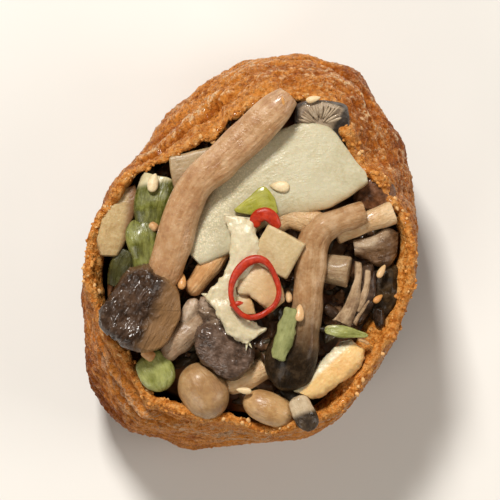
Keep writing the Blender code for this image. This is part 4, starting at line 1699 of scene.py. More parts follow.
@dataclass
class LongMushroom:
    """The long mushroom that lies across the top: a streaky stem in a dark, wrinkled cap."""

    stem: tuple[Stop, ...] = spine(
        (7.1, 26.5, 41.7, 4.3, 3.8), (4.7, 24, 41.6, 6.2, 4.8), (0.1, 19.5, 41.2, 6.7, 5),
        (-5.4, 14.3, 40.8, 6.5, 5.2), (-9.5, 10.5, 40.2, 6.2, 5.4), (-12, 6.1, 39.4, 6.6, 5.4),
        (-13.4, 1.3, 38.6, 6.8, 5.4), (-14.8, -3.2, 37.7, 6.6, 5.4), (-16.6, -7.4, 36.4, 6.2, 4.8),
        (-18.4, -10.6, 35.6, 5.4, 4.4),
    )
    cap: Pebble = Pebble(
        (-20.1, -12.2, 36.6),
        (7.5, 7.9, 7.9, 8.3, 8.2, 7.4, 6.1, 5.8, 6.9, 7.6, 6.8, 7.0, 7.5, 7.9, 7.6, 7.2),
        rise=4.9,
        drop=3.6,
        square=3.2,
        sides=220,
        rings=110,
        facets=(
            Facet(1.6, 1.3, 4.3, 0.17, -0.08), Facet(1.6, 1.3, 4.3, -0.52, 0.24),
            Facet(-4.4, 3.6, 3.3, 0.8, -0.7),
        ),
    )

    def stem_skin(self, lumps: Unevenness) -> Skin:
        """The stem, with shallow grooves along it.

        Args:
            lumps: What makes it uneven.

        Returns:
            The skin, with its finish's masks.
        """
        skin = Morsel(self.stem, boxy=2.3, end=1.5, sides=72).skin()
        sheet = skin.lengthwise(3.3, 7)
        body = 1 - skin.masks["cut"]
        height = lumps.rough(sheet, 1.8, 3) * 0.14 * body + lumps.smooth(skin.rows, 5) * 0.3
        skin.push(height)
        near_cap = ease(33, 44, skin.along[..., 1])
        skin.masks = {"shade": near_cap * 0.55 + 0.25 * ease(0.2, -0.6, skin.masks["crown"])}
        return skin

    def cap_skin(self, lumps: Unevenness) -> Skin:
        """The cap, creased as it dried and glossy with juice.

        Args:
            lumps: What makes it uneven.

        Returns:
            The skin, with its finish's masks.
        """
        skin = self.cap.skin()
        x, y = skin.rows[..., 0] - self.cap.centre[0], skin.rows[..., 1] - self.cap.centre[1]
        upper = ease(-0.3, 0.3, skin.masks["crown"])
        across, ahead = x * 0.87 - y * 0.5, x * 0.5 + y * 0.87
        lines = joined(across, ahead * 0.4, skin.rows[..., 2] * 0.5)
        creases = lumps.ridged(lines, 1.7, 3)
        smooth_side = ease(
            0.6, 3.4, (x - 1.6) * 0.91 - (y - 1.3) * 0.42 + lumps.smooth(skin.rows + 4, 3) * 0.8
        )
        height = (creases - 0.6) * 0.95 * upper * (
            1 - 0.8 * smooth_side
        ) + lumps.smooth(skin.rows + 12, 4) * 0.4
        skin.push(height)
        brim = ease(0.80, 0.97, skin.masks["edge"]) * ease(-4, 3, x + y * 0.4)
        skin.masks = {
            "cap": np.ones_like(height),
            "tan": np.clip(smooth_side * 0.9 + brim * 0.35, 0, 1),
            "shade": ease(0.5, -0.1, skin.masks["crown"]) * (1 - smooth_side),
        }
        skin.along = joined(across, ahead)
        skin.finish = 1
        return skin

    def build(self, bench: Bench, lumps: Unevenness) -> None:
        """Makes the mushroom."""
        skins = [self.stem_skin(lumps), self.cap_skin(lumps)]
        bench.piece(
            "long_mushroom_piece", skins, [PALE_MUSHROOM, LONG_CAP], "long_mushroom"
        )


ALL_CAP = (-1.0, -0.5)
NO_CAP = (2.0, 3.0)


@dataclass
class Stalk:
    """A plain mushroom piece: its lofts, whose cap and shade are read from where they are."""

    name: str
    node: str
    body: Body | tuple[Body, ...]
    finish: Finish
    slot: Slot
    cap: tuple[float, float] = NO_CAP
    lumps: float = 0.3
    grooves: float = 0.2
    across: float = 0.0

    def skin(self, body: Body, lumps: Unevenness) -> Skin:
        """One body, with shallow grooves along it.

        Args:
            body: The loft to make.
            lumps: What makes it uneven.

        Returns:
            The skin, with its finish's masks.
        """
        skin = body.skin()
        sheet = skin.lengthwise(max(skin.along[..., 0].max() / TAU, 0.5), 5)
        whole = 1 - skin.masks["cut"]
        height = lumps.rough(sheet + len(self.name), 1.6, 3) * self.grooves * whole
        skin.push(height + lumps.smooth(skin.rows + 3, 3.6) * self.lumps)
        place = skin.masks["share"] + self.across * skin.masks["edge"] + lumps.smooth(skin.rows, 2.5) * 0.04
        cap = ease(*self.cap, place)
        skin.masks = {
            "cap": cap, "shade": 0.5 * ease(0.3, -0.7, skin.masks["crown"]) + 0.5 * skin.masks["cut"]
        }
        return skin

    def build(self, bench: Bench, lumps: Unevenness) -> None:
        """Makes the piece."""
        bodies = self.body if isinstance(self.body, tuple) else (self.body,)
        skins = [self.skin(body, lumps) for body in bodies]
        bench.piece(self.name, skins, [self.finish], self.node)


@dataclass
class TornCap:
    """The wrinkled cap in the front: a dark plate, with a grey wet lobe at its torn top."""

    body: Pebble = Pebble(
        (-5.4, -17.6, 34.9),
        (5.8, 5.0, 4.8, 5.8, 7.8, 8.6, 5.4, 4.9, 4.7, 4.9, 5.1, 5.4, 6.7, 7.5, 7.2, 6.7),
        rise=3.8,
        drop=3.4,
        square=3.0,
        sides=200,
        rings=100,
        facets=(
            Facet(0, 0, 3.4, -0.10, 0.10), Facet(1.5, -3, 3.2, 0.25, 0.30),
            Facet(-1.5, 4.8, 2.7, -0.15, -0.2),
        ),
    )

    def build(self, bench: Bench, lumps: Unevenness) -> None:
        """Makes the cap.

        Args:
            bench: Where pieces are put together.
            lumps: What makes it uneven.
        """
        skin = self.body.skin()
        x, y = skin.rows[..., 0] - self.body.centre[0], skin.rows[..., 1] - self.body.centre[1]
        upper = ease(-0.3, 0.3, skin.masks["crown"])
        across, ahead = x * 0.35 + y * 0.94, x * 0.94 - y * 0.35
        lines = joined(across, ahead * 0.45, skin.rows[..., 2] * 0.5)
        creases = lumps.ridged(lines, 1.25, 3)
        notch = np.exp(-(((x + 2.6) / 2.2) ** 2) - ((y - 3.6) / 0.8) ** 2)
        lobe = ease(2.4, 3.4, y + x * 0.3)
        height = (creases - 0.6) * (0.45 + 0.35 * ease(0, 3, y)) * upper
        skin.push(height + lumps.smooth(skin.rows + 2, 3) * 0.35 - notch * 1.8 * upper)
        skin.along = joined(across, ahead)
        skin.masks = {
            "cap": 1 - 0.85 * lobe, "shade": 0.2 * lobe + ease(0.4, -0.3, skin.masks["crown"]) * (1 - lobe)
        }
        bench.piece("torn_cap_piece", [skin], [TORN_CAP_SKIN], "torn_cap")


@dataclass
class OpenCap:
    """The cap that leans on the hood behind the slice: gills fan over its face, and its edge is dark."""

    body: tuple[Stop, ...] = spine(
        (14, 17.6, 34.6, 8.4, 3), (13.6, 20, 35.6, 9.2, 3.4), (13, 22.6, 37, 10, 3.4),
        (13, 25.6, 38.8, 9.2, 2.4),
    )
    root: tuple[float, float] = (12.6, 21.4)
    reach: Numbers = (4.6, 5, 4.6, 4.4, 4.2, 4.4, 4.6)
    tilt: float = 26.0
    level: float = 37.35
    gills: int = 17

    def fan(self) -> list[Mark]:
        """A mark for each gill, spread like a fan over the leaning face.

        Returns:
            The marks.
        """
        lean = math.tan(math.radians(self.tilt))
        marks = []
        draw = np.random.default_rng(self.gills)
        for k in range(self.gills):
            turn = math.radians(14 + 150 * k / (self.gills - 1) + draw.normal() * 2.5)
            long = float(np.interp(k / (self.gills - 1), np.linspace(0, 1, len(self.reach)), self.reach))
            long = long * (0.8 + 0.22 * draw.random())
            start = 0.7 + 1.6 * draw.random()
            half, middle = (long - start) / 2, (long + start) / 2
            x, y = self.root[0] + middle * math.cos(turn), self.root[1] + middle * math.sin(turn) * 0.9
            z = self.level + (y - 20.0) * lean
            pitch = -math.degrees(math.atan(math.sin(turn) * lean))
            marks.append(
                Mark(x, y, z, math.degrees(turn), pitch, half, 0.2 + 0.14 * draw.random(), 0.36, 0.0)
            )
        return marks

    def build(self, bench: Bench, lumps: Unevenness, sprouts: SproutTree) -> None:
        """Makes the cap and its gills.

        Args:
            bench: Where pieces are put together.
            lumps: What makes it uneven.
            sprouts: What sets the grains.
        """
        skin = Morsel(self.body, boxy=3.0, start=1.0, end=1.2, sides=84, pace=0.25).skin()
        face = ease(0.5, 0.75, skin.masks["crown"])
        skin.push(lumps.smooth(skin.rows, 4) * 0.25 - 0.3 * face)
        cap = np.maximum(
            ease(0.0, 0.9, skin.rows[..., 0] - 17.0 + 0.6 * (25.0 - skin.rows[..., 1])), 1 - face
        )
        skin.masks = {"cap": cap, "shade": 0.5 * face}
        bench.piece("open_cap_piece", [skin], [SLATE_MUSHROOM], "open_cap")
        sprouts.strew(
            bench, "gills_of_open_cap", self.fan(), OPEN_GILL, Slot.DARK_MUSHROOM,
            Grain(taper=0.1, fineness=3, dent=0.15),
        )


# ---- bamboo shoot and leek


@dataclass
class Slice:
    """A cut piece of bamboo shoot or leek: one boxy loft, shaded by how far along and across it is."""

    name: str
    node: str
    body: Body
    finish: Finish
    slot: Slot
    lumps: float = 0.12
    bow: float = 0.0
    ragged: float = 0.0
    tan: Rise = (0.0, 0.0, 0.0, 0.0)
    pale: Rise = (0.0, 0.0, 0.0, 0.0)
    light: float = 0.0
    groove: float = 0.0
    frost: Rise = (0.0, 0.0, 0.0, 0.0)

    @staticmethod
    def fade(rule: Rise, share: Array, edge: Array) -> Array:
        """A mask that rises along a mix of two ways: how much of each, and where it starts and ends."""
        ahead, across, low, high = rule
        if low == high:
            return np.zeros_like(share)
        return ease(low, high, share * ahead + edge * across)

    def skin(self, lumps: Unevenness) -> Skin:
        """The piece, bowed across and ragged at its edges as it says.

        Args:
            lumps: What makes it uneven.

        Returns:
            The skin, with its finish's masks.
        """
        skin = self.body.skin()
        share, edge = skin.masks["share"], skin.masks["edge"]
        skin.rows[..., 2] += self.bow * (1 - edge**2)
        rough = lumps.smooth(skin.rows + 8, 3.2) * self.lumps + lumps.rough(skin.rows + 60, 0.9, 2) * 0.05
        rough = rough + self.ragged * lumps.rough(skin.rows + 25, 1.6, 3) * np.abs(edge)
        rough = rough - self.groove * bell(edge, 0.2) * ease(0.0, 0.3, skin.masks["crown"])
        skin.push(rough)
        # Painted light on the upper side, with random tone on top.
        lit = self.light * ease(-0.3, 0.9, skin.masks["crown"]) + 0.4 * lumps.smooth(skin.rows, 2.6)
        skin.masks = {
            "tan": self.fade(self.tan, share, edge),
            "pale": self.fade(self.pale, share, edge),
            "light": np.clip(lit, 0, 1),
            # Painted glints, on upward faces only.
            "frost": self.fade(self.frost, share, edge) * ease(0.0, 0.4, skin.masks["crown"]),
        }
        return skin

    def build(self, bench: Bench, lumps: Unevenness) -> None:
        """Makes the piece."""
        bench.piece(self.name, [self.skin(lumps)], [self.finish], self.node)


# ---- chilli and sesame


@dataclass
class ChilliRing:
    """A slice across a chilli: an uneven band of flesh with a small lobe at its top."""

    centre: Place = (0.8, -8.6, 40.9)
    radii: Numbers = (4.5, 4.3, 4.35, 4.9, 5.5, 5.2, 4.6, 4.3, 4.2, 4.3, 4.6, 5, 5.2, 4.9, 4.6, 4.6)
    flesh: Numbers = (1, 1, 1, 1.1, 1.4, 1.8, 1.8, 1.5, 1.2, 1, 0.95, 0.95, 1, 1.1, 1.05, 1)
    thick: float = 1.4
    boxy: float = 2.8
    turn: float = -14.0
    tip: float = 3.0
    sides: int = 160
    section: int = 20
    end: tuple[Stop, ...] = spine(
        (0.9, 2.6, 39.4, 1.6, 1), (1.1, 4.2, 39.9, 2.3, 1.2), (2.6, 5.1, 40.3, 2.4, 1.3),
        (4.1, 4.2, 40.2, 2.2, 1.2), (5, 2.4, 39.6, 1.5, 1),
    )

    def skin(self, lumps: Unevenness) -> Array:
        """The band as rows of its section, closed on itself.

        Args:
            lumps: What makes it uneven.

        Returns:
            The rows.
        """
        turn = ring(self.sides)
        middle, wide = compass(self.radii, turn), compass(self.flesh, turn)
        bend = ring(self.section)
        across, rise = section(bend, self.boxy)
        out = middle[:, None] + wide[:, None] / 2 * across[None]
        high = self.thick / 2 * rise[None] * np.ones((self.sides, 1))
        facing = turn + math.radians(self.turn)
        rows = joined(out * np.cos(facing)[:, None], out * np.sin(facing)[:, None], high)
        rows[..., 2] -= rows[..., 0] * math.tan(math.radians(self.tip))
        rows[..., 2] += lumps.smooth(rows, 4) * 0.25
        rows += lumps.rough(rows + 9, 1.4, 2)[..., None] * 0.07
        return rows + np.array(self.centre)

    def build(self, bench: Bench, lumps: Unevenness) -> None:
        """Makes the ring and the end of another that lies under the bamboo.

        Args:
            bench: Where pieces are put together.
            lumps: What makes it uneven.
        """
        rows = self.skin(lumps)
        count, sides = rows.shape[:2]
        grid = np.arange(count * sides).reshape(count, sides)
        ahead = np.roll(grid, -1, axis=0)
        faces = joined(grid, ahead, np.roll(ahead, -1, axis=1), np.roll(grid, -1, axis=1))
        made = bpy.data.meshes.new("chilli_ring")
        made.from_pydata(
            ((rows.reshape(-1, 3) + bench.datum) * MM).tolist(), [], faces.reshape(-1, 4).tolist()
        )
        made.polygons.foreach_set("use_smooth", [True] * len(made.polygons))
        made.update()
        bench.piece("chilli_slice", made, [CHILLI], "chilli_ring")
        skin = Morsel(self.end, boxy=2.6, start=0.6, end=0.6, sides=28, pace=0.25).skin()
        skin.push(lumps.rough(skin.rows, 1.5, 2) * 0.12)
        bench.piece("chilli_slice_end", [skin], [CHILLI])


@dataclass
class Sprinkles:
    """Toasted sesame seeds and flakes of chilli, set where they lie."""

    seeds: tuple[Mark, ...] = (
        Mark(-17.5, 10.9, 37.6, 78, 8, 1.75, 0.95, 0.6, 0), Mark(5.4, 10.1, 39, 176, 5, 1.75, 1, 0.6, 0.05),
        Mark(23.8, -5, 35.4, 62, 20, 1.45, 0.6, 0.5, 0.45),
        Mark(-12.3, -7, 37.4, 84, 15, 1.5, 0.75, 0.6, 0.9),
        Mark(8.9, -12.8, 39.5, 88, 12, 1.6, 0.85, 0.55, 0.6),
        Mark(-1.1, -26.6, 34.8, 172, 5, 1.4, 0.6, 0.5, 0.1),
        Mark(23.2, -9.9, 34.3, 42, 20, 1.1, 0.55, 0.5, 1),
        Mark(11.4, 25.9, 39.6, 15, 0, 1.35, 0.6, 0.5, 0.15), Mark(7, -9.6, 36.5, 95, 30, 1.3, 0.6, 0.5, 0.5),
        Mark(5.9, 25.2, 43.85, 100, 0, 0.95, 0.28, 0.2, 1),
    )
    flakes: tuple[Mark, ...] = (
        Mark(-6.8, -1.8, 37.2, 70, 20, 0.6, 0.35, 0.3, 0),
        Mark(-2.2, -11.2, 41.2, 12, 0, 0.9, 0.45, 0.35, 0), Mark(-3.2, -11.4, 41, 40, 0, 0.5, 0.35, 0.3, 0),
    )
    threads: tuple[Mark, ...] = (
        Mark(-0.6, -18.6, 38.4, 262, 0, 1, 0.2, 0.15, 0), Mark(0, -18.5, 38.4, 300, 0, 0.7, 0.17, 0.13, 0),
        Mark(-8, -9.5, 38.6, 165, 0, 0.8, 0.35, 0.3, 0),
    )

    def build(self, bench: Bench, sprouts: SproutTree) -> None:
        """Sets the seeds, the flakes and the threads that hang from the torn bamboo.

        Args:
            bench: Where pieces are put together.
            sprouts: What sets the grains.
        """
        strew = sprouts.strew
        strew(
            bench, "bamboo_threads", self.threads, CREAM_BAMBOO, Slot.BAMBOO,
            Grain(taper=0.5, fineness=3, dent=0.2),
        )
        strew(
            bench, "sesame_seeds", self.seeds, SESAME, Slot.BAMBOO, Grain(taper=0.32, fineness=4, dent=0.1)
        )
        strew(
            bench, "chilli_flakes", self.flakes, CHILLI, Slot.CHILLI, Grain(taper=0.2, fineness=3, dent=0.8)
        )


# ---- the studio


@dataclass
class Studio:
    """Pale floor, soft light from behind, and the camera almost straight above."""

    elevation: float = 86.0
    distance: float = 1.0
    field: float = 0.092
    target: Place = (0.0, 0.0, 0.020)
    sensor: float = 36.0
    floor_reach: float = 2.0
    floor_dark: Colour = (0.78, 0.76, 0.73)
    floor_light: Colour = (0.80, 0.78, 0.75)
    fill_colour: Colour = (1.0, 0.95, 0.88)
    room: Colour = (1.0, 0.90, 0.76)
    room_strength: float = 0.16

    def floor(self) -> None:
        """Lays a plain pale floor under the foot."""
        made = bpy.data.meshes.new("floor")
        edge = self.floor_reach
        made.from_pydata(
            [(-edge, -edge, 0), (edge, -edge, 0), (edge, edge, 0), (-edge, edge, 0)], [], [(0, 1, 2, 3)]
        )
        paint = bpy.data.materials.new("pale_floor")
        paint.use_nodes = True
        wiring = Wiring(paint.node_tree)
        shader = paint.node_tree.nodes["Principled BSDF"]
        soft = wiring.noise(wiring.place(), 30, 2)
        pale = wiring.ramp(soft, [(0.3, self.floor_dark), (0.7, self.floor_light)])
        wiring.feed(shader.inputs["Base Color"], pale)
        shader.inputs["Roughness"].default_value = 0.8
        made.materials.append(paint)
        put("floor", made)

    def lamp(self, name: str, place: Place, size: float, power: float, colour: Colour) -> None:
        """Hangs a square soft light that faces the food.

        Args:
            name: The light's name.
            place: Where it hangs, in metres.
            size: The side of its square, in metres.
            power: Its power, in watts.
            colour: Its colour.
        """
        light = bpy.data.lights.new(name, "AREA")
        light.size = size
        light.energy = power
        light.color = colour
        item = put(name, light)
        item.location = place
        item.rotation_euler = (Vector(self.target) - Vector(place)).to_track_quat("-Z", "Y").to_euler()

    def build(self) -> None:
        """Sets up the floor, the lights, the pale surroundings and the camera."""
        scene = bpy.context.scene
        scene.view_settings.view_transform = "Standard"
        self.floor()
        self.lamp("window", (-0.20, 0.60, 0.85), size=0.2, power=11.5, colour=(1.0, 0.97, 0.92))
        self.lamp("side", (0.85, -0.10, 0.60), size=0.5, power=3.2, colour=self.fill_colour)
        self.lamp("front", (-0.60, -0.65, 0.60), size=0.5, power=3.2, colour=self.fill_colour)
        world = bpy.data.worlds.new("pale_room")
        world.use_nodes = True
        world.node_tree.nodes["Background"].inputs["Color"].default_value = (*self.room, 1)
        world.node_tree.nodes["Background"].inputs["Strength"].default_value = self.room_strength
        scene.world = world
        camera = bpy.data.cameras.new("camera")
        camera.sensor_width = self.sensor
        camera.lens = self.sensor * self.distance / self.field
        camera.clip_start = 0.05
        lift = math.radians(self.elevation)
        item = put("camera", camera)
        spot = Vector(self.target) + Vector((0, -math.cos(lift), math.sin(lift))) * self.distance
        item.location = spot
        item.rotation_euler = (Vector(self.target) - spot).to_track_quat("-Z", "Y").to_euler()
        scene.camera = item


# ---- the toppings' sizes


def stalks() -> list[Stalk]:
    """The mushroom pieces that are lofts, lowest first.

    Returns:
        The pieces.
    """
    dark, brown, pale = Slot.DARK_MUSHROOM, Slot.BROWN_MUSHROOM, Slot.PALE_MUSHROOM
    behind = spine((19.6, 11.2, 32, 6.6, 4.8), (22.8, 9.2, 32.2, 7.4, 5), (26, 7.2, 31.6, 5, 4))
    beside = spine((25, -3.5, 30.8, 5, 4.2), (24.5, -8.3, 31.2, 6.2, 4.6), (22.8, -13.1, 30.8, 5, 4.2))
    scrap = spine((8.4, -27.6, 33.6, 3.6, 3), (9.6, -30.4, 34.2, 4.4, 3.2), (10.7, -33.7, 34.8, 3.2, 2.4))
    front = spine((-4.8, -25.8, 32, 4, 3.8), (-1.2, -24.4, 32.4, 4.4, 4), (2.8, -22.2, 32.6, 4, 3.8))
    little = spine(
        (-8.4, -13.2, 34, 4.2, 3.6), (-11, -15.6, 33.9, 5, 4), (-13.8, -18, 33.2, 5.2, 4.4),
        (-16.6, -20, 32.4, 4.4, 4),
    )
    flesh = spine((-10, -10.4, 35.2, 1.4, 1.6), (-10.8, -12.2, 35, 2.4, 2), (-11.8, -14.6, 34.4, 2.6, 2))
    left_bean = spine(
        (-11.2, -21.9, 32.8, 7.4, 7.2), (-8.4, -26.6, 32.6, 8.6, 7.6), (-5.4, -31, 32.2, 7.4, 6.8)
    )
    right_bean = spine((-1.2, -28, 32.2, 4.6, 5), (3.2, -29.6, 32.3, 6, 6), (7.9, -31.6, 31.9, 5, 5.2))
    back_gills = sides(
        (18.6, 0.8, 18.8, -2.2, 33.6, 2.8), (20.5, 1.2, 20.5, -3, 33.6, 3.2),
        (23, 1.9, 22.8, -3.8, 33.5, 3.4), (25.4, 3, 25.2, -3.8, 33, 3.2), (27.3, 2.6, 26.9, -1.8, 32.2, 2.6),
    )
    broad_rib = sides(
        (18.9, -3, 20.3, -3.2, 34.8, 2.4), (18.9, -6.1, 20.4, -6.6, 34.8, 2.6),
        (18.1, -8.7, 19.9, -9.9, 34.5, 2.6), (16.6, -11.5, 19.1, -12.9, 34.1, 2.6),
        (14.9, -13.8, 18.2, -15.1, 33.6, 2.4),
    )
    slim_rib = sides(
        (21.8, -8.6, 22.9, -9.2, 33.6, 1.6), (20.2, -11.2, 21.2, -11.9, 33.5, 1.8),
        (18.2, -13.9, 19.3, -14.8, 33.2, 1.8),
    )
    plate = sides(
        (19.3, -3.6, 23, -4.8, 33.7, 2), (18.6, -8.4, 22.9, -9.6, 33.5, 2.4),
        (16.4, -13.4, 20.2, -14.6, 33, 2),
    )
    inner_rib = sides(
        (20.8, -4.4, 22, -4.6, 34.3, 1.6), (20.4, -8.2, 21.8, -8.8, 34.2, 1.8),
        (18.8, -12, 19.9, -12.6, 33.8, 1.6),
    )
    wet_scrap = spine((21.2, -3.4, 33.9, 2.4, 2.6), (21.6, -6.4, 33.6, 2.2, 2.4), (20.6, -10, 33, 1.6, 2))
    grey_scrap = spine((13.2, -11.4, 33.4, 1.6, 1.8), (15, -12.4, 33.4, 2, 2), (16.8, -13.6, 33, 1.6, 1.8))
    dull_scrap = spine(
        (23.6, -11.4, 33, 1.2, 1.6), (23.3, -13.4, 33, 1.8, 1.8), (23.5, -15.4, 32.8, 1.2, 1.6)
    )
    right_stem = spine((15.6, 1.4, 35.2, 3, 2.8), (20.6, 3.7, 35, 3.6, 3.2), (26, 5.8, 34.2, 4.2, 3.4))
    stub = spine((13.6, -4.4, 34.6, 5.2, 4.4), (18, -5.2, 35.2, 5.6, 4.8))
    slim = spine((-3.6, 1, 34.8, 3.8, 3.4), (-7.2, -3.9, 35.2, 3.9, 3.6), (-11, -8.9, 34.8, 3.2, 3.2))
    under = spine((3.4, 2.6, 36, 4.4, 3.2), (7, 5, 36.4, 5.2, 3.6), (12.4, 3.2, 36.4, 4.6, 3.4))
    bent = spine(
        (20.6, 5.5, 36.6, 4.4, 4), (15.6, 3.8, 37.4, 4.8, 4.4), (11.9, 1, 37.6, 5.8, 4.8),
        (10.8, -4.9, 37, 5.6, 5), (10.4, -10.5, 36.4, 5.6, 5), (9.4, -15.6, 35.8, 6.8, 5.8),
        (7.6, -20.6, 35, 9.8, 7), (6.2, -26.8, 33.8, 6.8, 5.2),
    )
    crumb = spine((-19.4, -19.4, 35.2, 1.4, 1.3), (-17.4, -20.8, 35.4, 1.8, 1.6))
    bit = spine((-18, 3.6, 36, 1.2, 1.2), (-16.9, 2.6, 36.2, 1.3, 1.2))
    sliver = spine((19.6, -17, 35.6, 1, 0.9), (21.6, -18.2, 35.2, 0.8, 0.8))
    return [
        Stalk(
            "dark_cap_behind", "dark_cap_back", Morsel(behind, boxy=3, start=1.8, end=2), RUSSET_MUSHROOM,
            dark, cap=ALL_CAP,
        ),
        Stalk(
            "dark_cap_beside", "dark_cap_side", Morsel(beside, start=2.5, end=2.5), BLACK_MUSHROOM, dark,
            cap=ALL_CAP, lumps=0.8, grooves=0.5,
        ),
        Stalk(
            "dark_scraps",
            "",
            (
                *(
                    Morsel(
                        part, start=0.6, end=0.8, sides=32, pace=0.25
                    ) for part in (wet_scrap, grey_scrap, dull_scrap)
                ),
                Ribbon(plate, boxy=2.6, sides=60, rows=60),
            ),
            DARK_MUSHROOM,
            dark,
            cap=ALL_CAP,
            lumps=0.5,
        ),
        Stalk(
            "scrap_of_cap", "cap_scrap", Morsel(scrap, start=1, end=1.4), SCRAP_SKIN, dark, cap=(0.45, 0.62),
            lumps=0.5, grooves=0.4,
        ),
        Stalk("stem_in_front", "stem_front", Morsel(front, start=1.5), PEACH_MUSHROOM, brown),
        Stalk(
            "little_mushroom", "small_mushroom", Morsel(little, start=1, end=2.4), GREY_STEM, brown,
            lumps=0.7, grooves=0.4,
        ),
        Stalk(
            "torn_flesh", "", Morsel(flesh, start=0.6, end=0.8, sides=40, pace=0.2), TORN_FLESH, pale,
            lumps=0.7, grooves=0.6,
        ),
        Stalk(
            "left_bean_cap", "bean_cap_left", Morsel(left_bean, start=4.2, end=4.2, sides=80), BEAN_MUSHROOM,
            brown, lumps=0.2, grooves=0.03,
        ),
        Stalk(
            "right_bean_cap", "bean_cap_right", Morsel(right_bean, start=3, end=3, sides=80), AMBER_BEAN,
            brown, lumps=0.15, grooves=0.03,
        ),
        Stalk(
            "back_gill_slice", "gill_slice_back", Ribbon(back_gills, boxy=2.6, sides=72, rows=60), BACK_GILL,
            dark, cap=(0.0, 0.5), lumps=0.5, grooves=0.4, across=0.6,
        ),
        Stalk(
            "side_gill_slice", "gill_slice_side",
            tuple(Ribbon(rib, boxy=2.6, sides=48, rows=60) for rib in (broad_rib, inner_rib, slim_rib)),
            GILL_MUSHROOM, dark, cap=(0.9, 2.2), lumps=0.4, grooves=0.35, across=0.7,
        ),
        Stalk("right_stem", "stem_right", Morsel(right_stem), PEACH_MUSHROOM, pale),
        Stalk("stub_of_stem", "stem_stub", Morsel(stub, boxy=2.4), STUB_MUSHROOM, pale),
        Stalk("slim_stem", "thin_stem", Morsel(slim, end=1.4), AMBER_MUSHROOM, brown),
        Stalk("stem_under_slice", "", Morsel(under, boxy=2.2), PEACH_MUSHROOM, pale),
        Stalk(
            "bent_mushroom_piece", "bent_mushroom", Morsel(bent, end=4, sides=72), BROWN_MUSHROOM, brown,
            cap=(0.50, 0.84), lumps=0.35,
        ),
        Stalk(
            "small_bits", "",
            tuple(Morsel(part, start=0.4, end=0.4, sides=24, pace=0.2) for part in (crumb, bit, sliver)),
            AMBER_MUSHROOM, brown,
        ),
    ]


